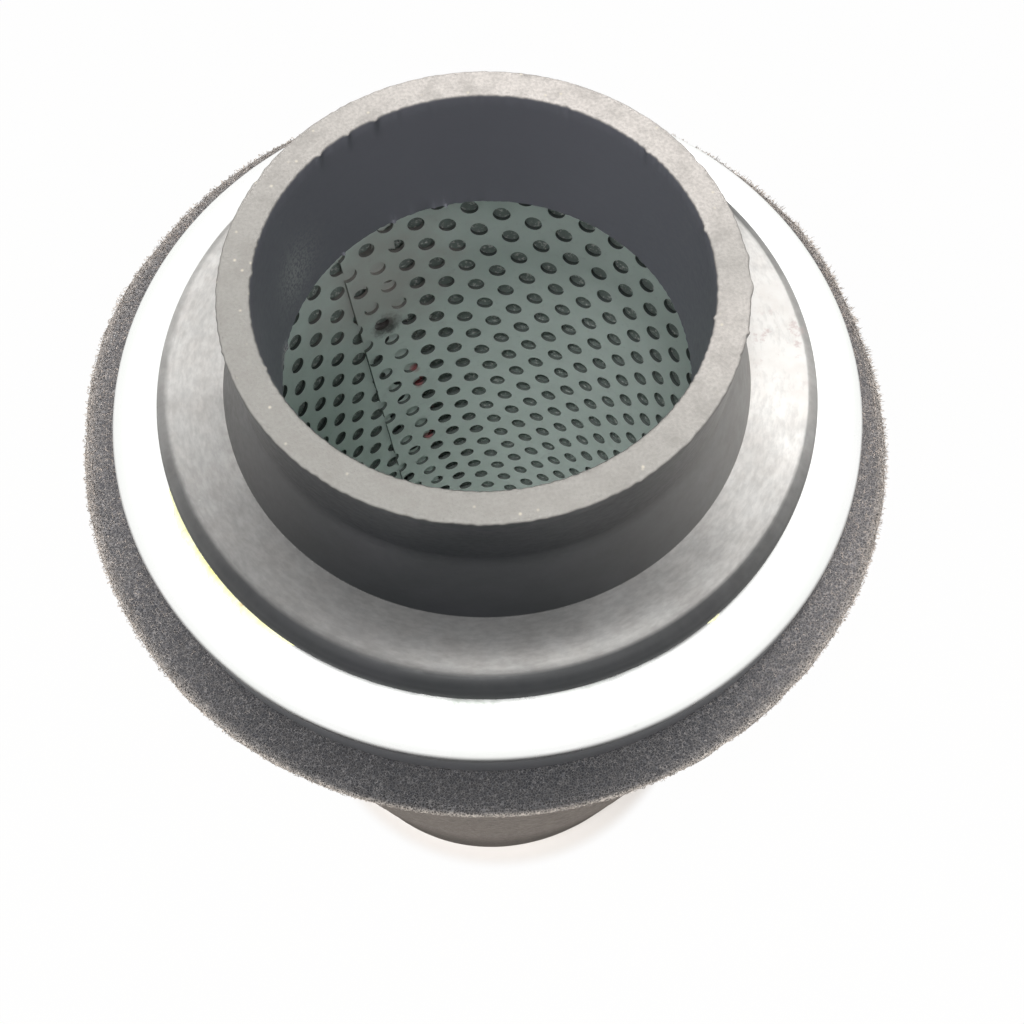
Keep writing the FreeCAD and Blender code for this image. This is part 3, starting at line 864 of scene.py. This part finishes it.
def thicken(mesh, thickness):
    """Give the rolled sheet its thickness on the outside, as a finished mesh."""
    carrier = bpy.data.objects.new("carrier", mesh)
    bpy.context.scene.collection.objects.link(carrier)
    solidify = carrier.modifiers.new("thickness", "SOLIDIFY")
    solidify.thickness = thickness
    solidify.offset = -1
    solidify.use_even_offset = False
    finished = carrier.evaluated_get(bpy.context.evaluated_depsgraph_get())
    solid = bpy.data.meshes.new_from_object(finished)
    solid.name = "perforated_steel"
    bpy.data.objects.remove(carrier)
    return solid


def cut_faces(mesh):
    """1 for each face of a cut edge, 0 for the sheet's own faces: a cut face's normal has
    less than half of its length pointing to or from the axis."""
    count = len(mesh.polygons)
    normals, centres = np.zeros(count * 3, np.float32), np.zeros(count * 3, np.float32)
    mesh.polygons.foreach_get("normal", normals)
    mesh.polygons.foreach_get("center", centres)
    normals, centres = normals.reshape(-1, 3), centres.reshape(-1, 3)
    outwards = centres[:, :2] / np.linalg.norm(centres[:, :2], axis=1, keepdims=True)
    return (np.abs((normals[:, :2] * outwards).sum(axis=1)) < 0.5).astype(np.float32)


roll_up(tube_mesh)
tube_solid = thicken(tube_mesh, TUBE_SHEET)
store(tube_solid, "FACE", cut=cut_faces(tube_solid))

# %% Tube: galvanised steel
SCUFF_PLACE = (118.0, CAP_FACE - 34.7 * MM)
FILM_PLACE = (116.0, CAP_FACE - 24 * MM)
# Where the lap shows reddish behind the holes
RED_PLACES = [(112.2, CAP_FACE - drop * MM) for drop in (50.2, 55.2, 73.4)]


def on_tube(heading, height, inset=0.0):
    """The point of the tube's inner wall at a heading in degrees and a height."""
    radius = (height - apex_height) * math.tan(TUBE_TAPER) - inset
    return radius * math.cos(math.radians(heading)), radius * math.sin(math.radians(heading)), height


def make_galvanised():
    """Galvanised sheet: a soft grey-green metal with cloudy spangle, faint drawing lines, a
    brownish film near the seam's upper end and one greasy scuff in it."""
    material, tree, shader = new_material("galvanised_steel", Metallic=0.1)
    cloudy = noise(tree, 120, 4, 0.6)
    fine = noise(tree, 900, 3, 0.6)
    colour = between(tree, ramp(tree, cloudy, 0.3, 0.7), (243, 254, 249), (235, 247, 241))
    colour = tint(tree, colour, ramp(tree, fine, 0.55, 0.8, 0, 0.3), 1, (204, 214, 209))
    colour = tint(tree, colour, attribute(tree, "cut"), 1, (96, 104, 100))
    smear = spot(tree, on_tube(*SCUFF_PLACE), 3.4 * MM, 0.7, noise(tree, 700, 4, 0.7))
    colour = tint(tree, colour, smear, 0.95, (48, 46, 48))
    film = spot(tree, on_tube(*FILM_PLACE), 20 * MM, 1.0, noise(tree, 150, 4, 0.6))
    colour = tint(tree, colour, film, 0.55, (214, 202, 198))
    for place in RED_PLACES:
        colour = tint(tree, colour, spot(tree, on_tube(*place, -0.3 * MM), 1.4 * MM, 0.6), 0.8, (168, 96, 98))
    rough = ramp(tree, cloudy, 0.3, 0.7, 0.42, 0.56)
    feed(tree, shader, Base_Color=colour, Roughness=rough, Normal=bump(tree, fine, 0.01 * MM, 0.5))
    return material


add_piece("perforated_steel", tube_solid, make_galvanised(), "tube_steel", "perforated_tube")

# %% [markdown]
# ## The foam sleeve
#
# The foam is reticulated: what is left of it is only the edges of its cells, so it looks
# like a fine net, and against the light its outline is a fringe. A surface alone can't show
# that. The sleeve's body is a turned surface, slightly uneven as cut foam is, whose material
# draws the cells. Over its cut upper end, where the photograph looks straight at it, lies a
# net of real struts: the edges of a honeycomb whose corners are shifted at random. It is
# thin enough to leave dark gaps, and it breaks up the outline by itself.

# %% Foam: outline
FOAM_EDGE_ROUND = 0.6 * MM
FOAM_SINK = 0.15 * MM
FOAM_FLARE = 1.65 * MM
FLARE_HEIGHT = 8 * MM
FOAM_COLUMNS = 560
foam_low_side = LOWER_RADIUS + 0.4 * MM
foam_seat_high = TUBE_OUTSIDE - (TUBE_HIGH - FOAM_HIGH) * math.tan(TAPER)
foam_seat_low = foam_seat_high - (FOAM_HIGH - FOAM_LOW) * math.tan(TAPER)
foam_top = FOAM_HIGH - FOAM_SINK
edge_start = foam_top - FOAM_EDGE_ROUND


def foam_side(height):
    """Radius of the sleeve's side: the taper, and a swelling that fades from the upper edge
    downwards as exp(-depth / 3 mm)."""
    swelling = FOAM_FLARE * np.exp(-(edge_start - height) / (3 * MM))
    return foam_low_side + (height - FOAM_LOW) * math.tan(TAPER) + swelling


foam_rim = float(foam_side(edge_start))
side_heights = np.concatenate([
    np.linspace(FOAM_LOW + 1 * MM, FOAM_HIGH - FLARE_HEIGHT, 60, endpoint=False),
    np.linspace(FOAM_HIGH - FLARE_HEIGHT, edge_start, 14, endpoint=False),
])
foam_outline = np.vstack([
    run((foam_seat_low, FOAM_LOW), (foam_low_side - 1 * MM, FOAM_LOW), 6),
    bend((foam_low_side - 1 * MM, FOAM_LOW + 1 * MM), 1 * MM, -90, 0, 4),
    np.stack([foam_side(side_heights), side_heights], axis=1),
    bend((foam_rim - FOAM_EDGE_ROUND, edge_start), FOAM_EDGE_ROUND, 0, 90, 5),
    run((foam_rim - FOAM_EDGE_ROUND, foam_top), (foam_seat_high, foam_top), 16),
    run((foam_seat_high, foam_top), (foam_seat_low, FOAM_LOW), 20),
])
print("foam outline points:", len(foam_outline), "rim radius", round(foam_rim / MM, 2), "mm")

# %% Foam: body
# How far the upper edge strays outwards, in millimetres, at headings in degrees
EDGE_STRAYS = np.array([
    (-180, 0.7), (-160, 0.35), (-130, 0.2), (-110, 0.1), (-70, 0.0), (-50, -0.2), (-30, 0.1),
    (-10, -0.3), (10, -0.5), (20, -0.2), (30, 0.45), (60, 0.6), (90, 1.0), (125, 1.65),
    (140, 1.6), (150, 1.5), (160, 1.7), (170, 1.35),
])
STRAY_DEPTH = 16 * MM
FRONT_BULGE = 1.3 * MM


def edge_stray(angle):
    """How far the upper edge strays outwards at an angle, in metres."""
    return np.interp(np.degrees(angle), *EDGE_STRAYS.T, period=360) * MM


def foam_stray(angle, radius, height):
    """How far a point of the sleeve's outside strays outwards, in metres: the edge's strays,
    fading downwards and inwards, and a slight bulge over the lower cap's front."""
    lowered = slope(height, FOAM_HIGH, FOAM_HIGH - STRAY_DEPTH)
    bulge = FRONT_BULGE * slope(height, FOAM_HIGH, FOAM_LOW) ** 2 * at_heading(angle, (-110, 34, 1))
    on_side = edge_stray(angle) * (1 - lowered) ** 2 + bulge
    on_top = edge_stray(angle) * slope(radius, 46 * MM, 52 * MM)
    return np.where(lowered > 0.05, on_side, on_top)


def uneven(angle, height, count, seed, amount):
    """Waves over the sleeve: a sum of cos(k a + m z + phase) with random whole k, so that
    they close round the sleeve, and random m."""
    random = np.random.default_rng(seed)
    turns = random.integers(2, 60, count)
    climbs = random.uniform(-500, 500, count)
    phases = random.uniform(0, 2 * np.pi, count)
    total = np.zeros(np.broadcast(angle, height).shape)
    for turn_count, climb, phase in zip(turns, climbs, phases):
        total += np.cos(turn_count * angle + climb * height + phase)
    return total * amount / math.sqrt(count)


foam_points, foam_angles = turned(foam_outline, FOAM_COLUMNS)
foam_radii, foam_heights = foam_outline[:, :1], foam_outline[:, 1:]
on_outside = foam_radii > foam_seat_low + (foam_heights - FOAM_LOW) * math.tan(TAPER) + 1 * MM
steady = np.maximum(slope(foam_heights, FOAM_LOW, FOAM_LOW + 60 * MM), 0.1)
swell = uneven(foam_angles, foam_heights, 24, 11, 0.08 * MM) * steady
swell = swell + foam_stray(foam_angles, foam_radii, foam_heights)
foam_points = grown(foam_points, foam_angles, swell * on_outside)
foam_mesh = grid_mesh("foam_body", foam_points)


def heading_and_radius(points):
    """The angle of each point round the axis, and its distance from it."""
    return np.arctan2(points[:, 1], points[:, 0]), np.hypot(points[:, 0], points[:, 1])


def below_edge(points):
    """0 at the sleeve's upper edge and over it, 1 from 2 mm under it downwards."""
    return slope(points[:, 2], edge_start, edge_start - 2 * MM)


def foam_tone(points):
    """How much painted light the foam gets: it rises from the front to the sides and from
    inside outwards, and the sleeve's side is painted light all round."""
    heading, radius = heading_and_radius(points)
    around = 1 + at_heading(heading, (-97, 62, -1), (-4, 40, 0.42))
    on_top = 0.75 * around + 0.25 * slope(radius, 48 * MM, 53 * MM)
    return np.maximum(on_top, 0.98 * below_edge(points))


def foam_brim(points):
    """1 at the upper edge's outermost line, fading to 0 within a millimetre."""
    heading, radius = heading_and_radius(points)
    width = (0.78 + at_heading(heading, (-90, 50, -0.5))) * MM
    return hump(radius, foam_rim + edge_stray(heading), width) * (points[:, 2] > edge_start - 2 * MM)


foam_flat = foam_points.reshape(-1, 3)
flat_heading, flat_radius = heading_and_radius(foam_flat)
thin_width = (2.3 + at_heading(flat_heading, (-90, 55, -1))) * MM
from_edge = np.where(foam_flat[:, 2] > edge_start - 0.1 * MM, (foam_rim - flat_radius) / thin_width,
                     (edge_start - foam_flat[:, 2]) / (4.5 * MM))
seat = np.broadcast_to(~on_outside & (foam_radii < foam_seat_high + 0.1 * MM), foam_points.shape[:2])
# tone holds the painted light, and foot the painted shade towards the floor
store(foam_mesh, tone=foam_tone(foam_flat), thin=np.clip(1 - from_edge, 0, 1) * ~seat.ravel(), seat=seat,
      foot=slope(foam_flat[:, 2], 52 * MM, 24 * MM), side=below_edge(foam_flat), brim=foam_brim(foam_flat))

# %% Foam: open cells as a shared effect


def make_open_cells():
    """Cell walls of a Voronoi pattern, twice: a near layer, and a finer, darker one behind
    it. Struts is 1 on the walls and 0 in the pores, Tone differs from cell to cell."""
    group, given, result = new_group("open_cells", {"Scale": 1700, "Width": 0.16}, ["Struts", "Tone"])
    place, near_scale = own_place(group), given.outputs["Scale"]
    layers = []
    for scale, share in ((near_scale, 1.0), (times(group, near_scale, 1.37), 0.45)):
        inputs = {"Vector": place, "Scale": scale}
        cells = add_node(group, "ShaderNodeTexVoronoi", inputs, feature="DISTANCE_TO_EDGE")
        layers.append(ramp(group, cells.outputs["Distance"], 0.0, given.outputs["Width"], share, 0.0))
    cells = add_node(group, "ShaderNodeTexVoronoi", {"Vector": place, "Scale": near_scale})
    tone = add_node(group, "ShaderNodeSeparateXYZ", {0: cells.outputs["Color"]}).outputs[0]
    group.links.new(largest(group, *layers), result.inputs["Struts"])
    group.links.new(tone, result.inputs["Tone"])
    return group


OPEN_CELLS = make_open_cells()


def open_cells(tree, scale, width):
    """The shared cells with a material's own values: their struts and their tone."""
    made = use_group(tree, OPEN_CELLS, Scale=scale, Width=width)
    return made["Struts"], made["Tone"]


def tinted(tree, colour):
    """Painted light: a foam colour darkened or lightened by the painted light stored on the
    mesh as tone, and a little warmer where it is painted lighter."""
    tone = attribute(tree, "tone")
    level = ramp(tree, tone, 0.0, 1.0, 0.64, 2.08)
    warmth = mix(tree, tone, (1, 1, 1, 1), (1, 0.96, 0.92, 1))
    return mix(tree, 1.0, mix(tree, 1.0, colour, level, "MULTIPLY"), warmth, "MULTIPLY")


def make_foam():
    """Charcoal foam: pale grey-brown struts over dark pores, with slow changes of tone and with
    painted light: lighter to the sides and on the sleeve's side, painted shade towards the foot and
    a painted highlight along the brim. Near the upper edge the pores let light through; the seat on
    the tube, seen through the holes, is painted pale with painted glints, as painted light."""
    material, tree, shader = new_material("charcoal_foam", Roughness=0.85, Specular_IOR_Level=0.2)
    struts, tone = open_cells(tree, 3000, 0.24)
    walls = between(tree, tone, (102, 103, 107), (130, 128, 128))
    pores = between(tree, ramp(tree, noise(tree, 90, 4, 0.6), 0.3, 0.7), (60, 61, 65), (74, 73, 75))
    colour = tinted(tree, mix(tree, struts, pores, walls))
    grainy = ramp(tree, noise(tree, 950, 4, 0.7), 0.35, 0.65)
    # Painted light: the sleeve's side is painted a lighter brown-grey
    on_side = between(tree, grainy, (136, 128, 119), (182, 172, 161))
    colour = mix(tree, times(tree, attribute(tree, "side"), 0.6), colour, on_side)
    # Painted shade: the foam darkens towards the floor
    colour = tint(tree, colour, attribute(tree, "foot"), 0.6, (70, 66, 60))
    lit_brim = times(tree, attribute(tree, "brim"), ramp(tree, struts, 0.2, 0.7, 0.05, 0.85))
    colour = tint(tree, colour, lit_brim, 1, (230, 220, 210))
    # Painted light: the foam seen through the holes is painted pale, with painted glints
    flecks = ramp(tree, noise(tree, 1500, 3, 0.7), 0.52, 0.66)
    in_holes = between(tree, flecks, (172, 184, 179), (252, 255, 250))
    for place in RED_PLACES:
        red = spot(tree, on_tube(*place, -0.9 * MM), 1.9 * MM, 0.6)
        in_holes = tint(tree, in_holes, red, 0.85, (200, 96, 100))
    colour = mix(tree, attribute(tree, "seat"), colour, in_holes)
    gaps = calculate(tree, "SUBTRACT", 1.0, ramp(tree, struts, 0.15, 0.55))
    clear = times(tree, gaps, ramp(tree, attribute(tree, "thin"), 0.0, 1.0))
    solid = calculate(tree, "SUBTRACT", 1.0, clear)
    feed(tree, shader, Base_Color=colour, Alpha=solid, Normal=bump(tree, struts, 0.2 * MM, 0.8))
    return material


FOAM = make_foam()
foam_body = add_piece("foam_body", foam_mesh, FOAM, "foam", "foam_sleeve")

# %% Foam: struts of the cut end
CELL_PITCH = 0.42 * MM
CORNER_SCATTER = 0.18 * CELL_PITCH
STRUT_RADIUS = 0.065 * MM
# Radii of the net's inner edge and of its middle
NET_START = 47.9 * MM
NET_MIDDLE = 51 * MM
SIDE_NET = 2.4 * MM


def honeycomb(columns, rows, pitch):
    """Corners and edges of a honeycomb that closes round its columns. Corner (i, j) lies at
    i * pitch / 2 along and j * pitch * sqrt(3) / 2 across, raised or lowered by a quarter of
    an edge as i + j is even or odd; edges join it to i + 1, and to j + 1 where i + j is even."""
    i, j = np.meshgrid(np.arange(2 * columns), np.arange(rows), indexing="ij")
    even = (i + j) % 2 == 0
    quarter = pitch / math.sqrt(3) / 4
    along = i * pitch / 2
    across = j * pitch * math.sqrt(3) / 2 + np.where(even, quarter, -quarter)
    number = i * rows + j
    beside = ((i + 1) % (2 * columns)) * rows + j
    ring_edges = np.stack([number.ravel(), beside.ravel()], axis=1)
    up = even & (j < rows - 1)
    cross_edges = np.stack([number[up], number[up] + 1], axis=1)
    return along.ravel(), across.ravel(), np.vstack([ring_edges, cross_edges])


def along_path(path, distance):
    """Radius, height and outward normal at distances along an outline path."""
    steps = np.hypot(*np.diff(path, axis=0).T)
    reached = np.concatenate([[0], np.cumsum(steps)])
    radius = np.interp(distance, reached, path[:, 0])
    height = np.interp(distance, reached, path[:, 1])
    middle = (reached[1:] + reached[:-1]) / 2
    slopes = np.diff(path, axis=0) / steps[:, None]
    normal_radius = np.interp(distance, middle, -slopes[:, 1])
    normal_height = np.interp(distance, middle, slopes[:, 0])
    return radius, height, normal_radius, normal_height


def struts_between(first, second, radius, facing):
    """A closed strut between each pair of points: two ends and three corners round the
    middle, which makes six triangles."""
    axis = second - first
    side = np.cross(axis, facing)
    side /= np.linalg.norm(side, axis=1, keepdims=True) + 1e-12
    other = np.cross(axis, side)
    other /= np.linalg.norm(other, axis=1, keepdims=True) + 1e-12
    middle = (first + second) / 2
    corners = [middle + radius[:, None] * (math.cos(a) * side + math.sin(a) * other)
               for a in (math.pi / 2, math.pi * 7 / 6, math.pi * 11 / 6)]
    points = np.stack([first, second, *corners], axis=1)
    pattern = np.array([[0, 3, 2], [0, 4, 3], [0, 2, 4], [1, 2, 3], [1, 3, 4], [1, 4, 2]])
    faces = pattern[None] + 5 * np.arange(len(first))[:, None, None]
    return points.reshape(-1, 3), faces.reshape(-1, 3)


def foam_net(path, lifts, kept_share, seed):
    """A net of struts over a stretch of the outline, given as a path from inside to outside.
    Every corner is shifted at random, also along the normal, by an amount between the two
    lifts. Returns the struts' points and faces and how far each point stands proud."""
    random = np.random.default_rng(seed)
    length = np.hypot(*np.diff(path, axis=0).T).sum()
    rows = int(length / (CELL_PITCH * math.sqrt(3) / 2)) + 1
    columns = int(2 * math.pi * NET_MIDDLE / CELL_PITCH)
    along, across, edges = honeycomb(columns, rows, CELL_PITCH)
    along = along + random.normal(0, CORNER_SCATTER, len(along))
    across = across + random.normal(0, CORNER_SCATTER, len(across))
    radius, height, normal_radius, normal_height = along_path(path, across)
    angle = along / (columns * CELL_PITCH) * 2 * math.pi
    calm = 1 + at_heading(angle, (-90, 50, -0.6))
    lift = lifts[0] + (lifts[1] - lifts[0]) * calm * random.random(len(along)) ** 2
    radius = radius + normal_radius * lift + foam_stray(angle, radius, height)
    height = height + normal_height * lift
    corners = round_axis(radius, angle, height)
    facing = round_axis(normal_radius, angle, normal_height)
    kept = edges[random.random(len(edges)) < kept_share]
    thickness = random.uniform(0.6, 1.3, len(kept)) * STRUT_RADIUS
    points, faces = struts_between(corners[kept[:, 0]], corners[kept[:, 1]], thickness, facing[kept[:, 0]])
    ends = (lift[kept] - lifts[0]) / (lifts[1] - lifts[0])
    proud = np.concatenate([ends, np.repeat(ends.mean(axis=1, keepdims=True), 3, axis=1)], axis=1)
    return points, faces, proud.ravel()


def make_strut_foam():
    """The struts' own finish: the same charcoal under the same painted light, paler where a
    strut stands proud and catches dust and light, with a painted highlight along the brim."""
    material, tree, shader = new_material("foam_struts", Roughness=0.6)
    grainy = noise(tree, 1500, 2, 0.5)
    broad = noise(tree, 60, 3, 0.6)
    colour = between(tree, ramp(tree, grainy, 0.35, 0.65), (84, 85, 89), (126, 124, 124))
    colour = tint(tree, colour, ramp(tree, broad, 0.4, 0.7, 0, 0.3), 1, (132, 124, 117))
    proud = ramp(tree, attribute(tree, "proud"), 0.25, 1.0, 0, 0.6)
    colour = tinted(tree, tint(tree, colour, proud, 1, (186, 174, 164)))
    lit_brim = times(tree, attribute(tree, "brim"), ramp(tree, grainy, 0.35, 0.65, 0.3, 0.95))
    feed(tree, shader, Base_Color=tint(tree, colour, lit_brim, 1, (234, 224, 214)))
    return material


STRUT_FOAM = make_strut_foam()
flat_path = run((NET_START, foam_top), (foam_rim, foam_top), 8)
round_path = np.vstack([
    run((foam_rim - 1.1 * MM, foam_top), (foam_rim - FOAM_EDGE_ROUND, foam_top), 2),
    bend((foam_rim - FOAM_EDGE_ROUND, edge_start), FOAM_EDGE_ROUND, 90, 0, 6),
    [(float(foam_side(edge_start - drop)), edge_start - drop) for drop in np.linspace(0, SIDE_NET, 10)],
])


def foam_teeth(count, seed):
    """Cut cell walls that stand out from the upper edge like teeth, thin and of random
    length. They are longest at the right and the back, and missing at the front."""
    random = np.random.default_rng(seed)
    angle = random.uniform(0, 2 * np.pi, 3 * count)
    angle = angle[random.random(3 * count) > at_heading(angle, (-90, 72, 1))][:count]
    drop = random.uniform(-0.1, 1.5, len(angle)) * MM
    root_height = edge_start - drop
    root_radius = foam_side(np.minimum(root_height, edge_start)) - 0.1 * MM
    root_radius = root_radius + foam_stray(angle, root_radius, root_height)
    longest = 0.3 + at_heading(angle, (28, 46, 0.7))
    length = (0.3 + 0.85 * random.random(len(angle)) ** 1.4) * longest * MM
    aside = random.normal(0, 0.25, len(angle)) * length
    climb = random.uniform(-0.1, 0.5, len(angle)) * length
    ends = [round_axis(root_radius + out, angle + turn / root_radius, root_height + rise)
            for out, turn, rise in ((0, 0, 0), (length + 0.1 * MM, aside, climb))]
    points, faces = struts_between(*ends, random.uniform(0.05, 0.09, len(angle)) * MM,
                                   np.tile([0.0, 0.0, 1.0], (len(angle), 1)))
    return points, faces, random.uniform(0, 0.4, len(points))


cut_nets = {
    "foam_cut_cells": foam_net(flat_path, (-0.08 * MM, 0.16 * MM), 0.86, 21),
    "foam_fringe": foam_net(round_path, (-0.1 * MM, 0.6 * MM), 0.88, 22),
    "foam_teeth": foam_teeth(6400, 23),
}
for name, (net_points, net_faces, proud) in cut_nets.items():
    net_mesh = fill_mesh(name, net_points, net_faces)
    store(net_mesh, proud=proud, tone=foam_tone(net_points), brim=foam_brim(net_points))
    add_piece(name, net_mesh, STRUT_FOAM, "foam")

# %% [markdown]
# ## Adhesive and sealant
#
# The neck is stuck to the cap with contact adhesive. Some was squeezed out along the
# flange's edge and dried there as a thin yellow line of uneven width. It is a small bead
# swept along that edge, with a radius that changes on the way and falls to nothing at both
# ends. The sealant rings inside the caps hardly show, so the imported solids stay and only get
# a finish.

# %% Adhesive: film and bead
# First and last heading in degrees, size in millimetres, and count of rings
BEAD_STRETCHES = [(197.5, 235.5, 0.95, 300), (306.0, 308.8, 0.5, 24)]
BEAD_WAVES = (17, 37, 83, 170, 310)
BEAD_CORNERS = 10
BROWN_HEADING = math.radians(224.3)
BROWN_PLACE = (FLANGE_RADIUS * math.cos(BROWN_HEADING), FLANGE_RADIUS * math.sin(BROWN_HEADING), CAP_FACE)
FILM_EDGE = FLANGE_RADIUS - 0.8 * MM
FILM_COLUMNS = 360


def swept_bead(first, last, size, count, seed):
    """A bead along the flange's foot: circle points of radius s(a) about the edge, where
    s(a) = size * sqrt(sin(pi * share)) * (1 + waves), closed by its two points."""
    random = np.random.default_rng(seed)
    share = np.linspace(0, 1, count)
    heading = np.radians(first + (last - first) * share)
    waves = sum(np.sin(heading * k + random.uniform(0, 6.3)) / (1 + k / 90) for k in BEAD_WAVES) * 0.2
    swollen = size * MM * np.sqrt(np.sin(np.pi * share)) * (1 + waves)
    side = np.linspace(0, 2 * np.pi, BEAD_CORNERS, endpoint=False)[:, None]
    ring_radius = FLANGE_RADIUS - 0.1 * MM + np.cos(side) * swollen
    ring_height = CAP_FACE + np.maximum(np.sin(side), 0) * swollen * 0.5
    return round_axis(ring_radius, heading, ring_height)


def make_adhesive():
    """Dried contact adhesive: yellow, paler where it is thin, with one browned patch."""
    material, tree, shader = new_material("dried_adhesive", Roughness=0.45)
    cloudy = noise(tree, 500, 3, 0.6)
    level = add_node(tree, "ShaderNodeVectorMath", {0: own_place(tree), 1: (1, 1, 0)}, operation="MULTIPLY")
    thin = ramp(tree, length_of(tree, level.outputs[0]), FLANGE_RADIUS, FLANGE_RADIUS + 0.7 * MM)
    colour = between(tree, ramp(tree, cloudy, 0.3, 0.7), (250, 250, 164), (254, 254, 212))
    colour = tint(tree, colour, thin, 1, (255, 255, 232))
    colour = tint(tree, colour, spot(tree, BROWN_PLACE, 0.6 * MM, 0.7), 1, (206, 142, 60))
    feed(tree, shader, Base_Color=colour)
    return material


ADHESIVE = make_adhesive()
film_outline = np.vstack([
    run((CAP_HOLE, CAP_FACE), (FILM_EDGE, CAP_FACE), 2),
    run((FILM_EDGE, CAP_FACE), (FILM_EDGE, NECK_FOOT), 1),
    run((FILM_EDGE, NECK_FOOT), (CAP_HOLE, NECK_FOOT), 2),
    [(CAP_HOLE, NECK_FOOT)],
])
film_points, _ = turned(film_outline, FILM_COLUMNS)
add_piece("adhesive_film", grid_mesh("adhesive_film", film_points), ADHESIVE, "adhesive", "boot_adhesive")
for number, stretch in enumerate(BEAD_STRETCHES, start=1):
    name = f"adhesive_bead_{number}"
    bead_mesh = grid_mesh(name, swept_bead(*stretch, number), closed_columns=False)
    close_poles(bead_mesh)
    add_piece(name, bead_mesh, ADHESIVE, "adhesive")

# %% Sealant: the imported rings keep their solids


def make_sealant():
    """Cast sealing compound: dark grey, a little glossy, with a few pits."""
    material, tree, shader = new_material("sealant", Roughness=0.4)
    colour = between(tree, noise(tree, 400, 3), (62, 62, 66), (80, 80, 84))
    feed(tree, shader, Base_Color=colour, Normal=bump(tree, noise(tree, 800, 3), 0.05 * MM, 0.4))
    return material


SEALANT = make_sealant()
for name in ("top_potting", "bottom_potting"):
    nodes[name].data.materials.clear()
    nodes[name].data.materials.append(SEALANT)

# %% [markdown]
# ## Floor, world and light
#
# The filter was photographed on white in soft light. What reaches the inside of the tube
# tells where it came from, because the neck lets in only a narrow cone: a point deep down
# sees the light high above, a point near the top sees it lower, over the opposite side. So
# one lamp hangs overhead, a little to the front, two weaker ones stand in front on the left
# and the right like a bright room, and a weak window stays behind. The world gives plain
# fill light. Only rays that come straight from the camera, or are mirrored, see the
# background as pure white, so the whiteness adds no light to the object.

# %% Floor with the object's shadow
FLOOR_SIZE = 3.0
# The share of plain light at the filter's foot and away from it, and where it changes
GLOW_NEAR, GLOW_FAR = 0.1, 0.97
SHADOW_START, SHADOW_END = 42.3 * MM, 45.8 * MM
# The stretch over which mirrored rays see the floor grow light, and how dark it starts
MIRROR_START, MIRROR_END, MIRROR_DARK = 0.12, 0.36, 0.3

floor_corners = np.array([(-1, -1, 0), (1, -1, 0), (1, 1, 0), (-1, 1, 0)]) * FLOOR_SIZE
floor_mesh = fill_mesh("floor", floor_corners, np.array([[0, 1, 2, 3]]))
floor = bpy.data.objects.new("floor", floor_mesh)
bpy.context.scene.collection.objects.link(floor)


def seen_directly(tree, path):
    """1 for rays that come from the camera, are mirrored or pass through, 0 for all others."""
    return largest(tree, *[path.outputs[f"Is {kind} Ray"] for kind in ("Camera", "Glossy", "Transmission")])


def make_floor():
    """A white floor. To the camera and to mirrored rays it is mostly plain white light of
    strength 1, with a share of true shading left in, which carries the shadow. The share is
    larger close to the filter's foot, where the shadow is deepest. Mirrored rays see the
    stretch close to the filter darker, so that the cap's shoulder has an edge."""
    material = bpy.data.materials.new("white_floor")
    material.use_nodes = True
    tree = material.node_tree
    tree.nodes.clear()
    shaded = add_node(tree, "ShaderNodeBsdfDiffuse", {"Color": (0.9, 0.85, 0.81, 1)}).outputs[0]
    path = add_node(tree, "ShaderNodeLightPath")
    away = length_of(tree, own_place(tree))
    mirrored = ramp(tree, away, MIRROR_START, MIRROR_END, MIRROR_DARK, 1.0)
    inputs = {0: path.outputs["Is Glossy Ray"], 2: 1.0, 3: mirrored}
    strength = add_node(tree, "ShaderNodeMix", inputs).outputs[0]
    glow = add_node(tree, "ShaderNodeEmission", {"Color": (1, 1, 1, 1), "Strength": strength}).outputs[0]
    unshaded = ramp(tree, away, SHADOW_START, SHADOW_END, GLOW_NEAR, GLOW_FAR)
    share = times(tree, seen_directly(tree, path), unshaded)
    both = add_node(tree, "ShaderNodeMixShader", {0: share, 1: shaded, 2: glow}).outputs[0]
    add_node(tree, "ShaderNodeOutputMaterial", {"Surface": both})
    return material


floor_mesh.materials.append(make_floor())

# %% World
FILL_LIGHT = 0.12


def make_world():
    """White to the camera and to mirrored rays, and softer fill light for everything else."""
    world = bpy.data.worlds.new("studio")
    world.use_nodes = True
    tree = world.node_tree
    tree.nodes.clear()
    seen = seen_directly(tree, add_node(tree, "ShaderNodeLightPath"))
    strength = add_node(tree, "ShaderNodeMix", {0: seen, 2: FILL_LIGHT, 3: 1.0}).outputs[0]
    light = add_node(tree, "ShaderNodeBackground", {"Color": (1, 1, 1, 1), "Strength": strength}).outputs[0]
    add_node(tree, "ShaderNodeOutputWorld", {"Surface": light})
    return world


bpy.context.scene.world = make_world()
bpy.context.scene.view_settings.view_transform = "Standard"

# %% Lamps


def add_lamp(name, place, target, size, power):
    """A square area lamp at a place, turned to a target."""
    lamp = bpy.data.lights.new(name, "AREA")
    lamp.size = size
    lamp.energy = power
    lamp_object = bpy.data.objects.new(name, lamp)
    away = (Vector(place) - Vector(target)).to_track_quat("Z", "Y")
    lamp_object.matrix_world = Matrix.Translation(Vector(place)) @ away.to_matrix().to_4x4()
    bpy.context.scene.collection.objects.link(lamp_object)


TARGET = (0, 0, 0.12)
add_lamp("overhead", (-0.105, -0.205, 1.145), TARGET, 0.28, 7.5)
add_lamp("room_right", (0.351, -0.608, 0.900), TARGET, 0.35, 1.9)
add_lamp("room_left", (-0.469, -0.559, 0.875), TARGET, 0.35, 1.9)
add_lamp("window", (0.42, 0.72, 0.80), TARGET, 0.8, 1)
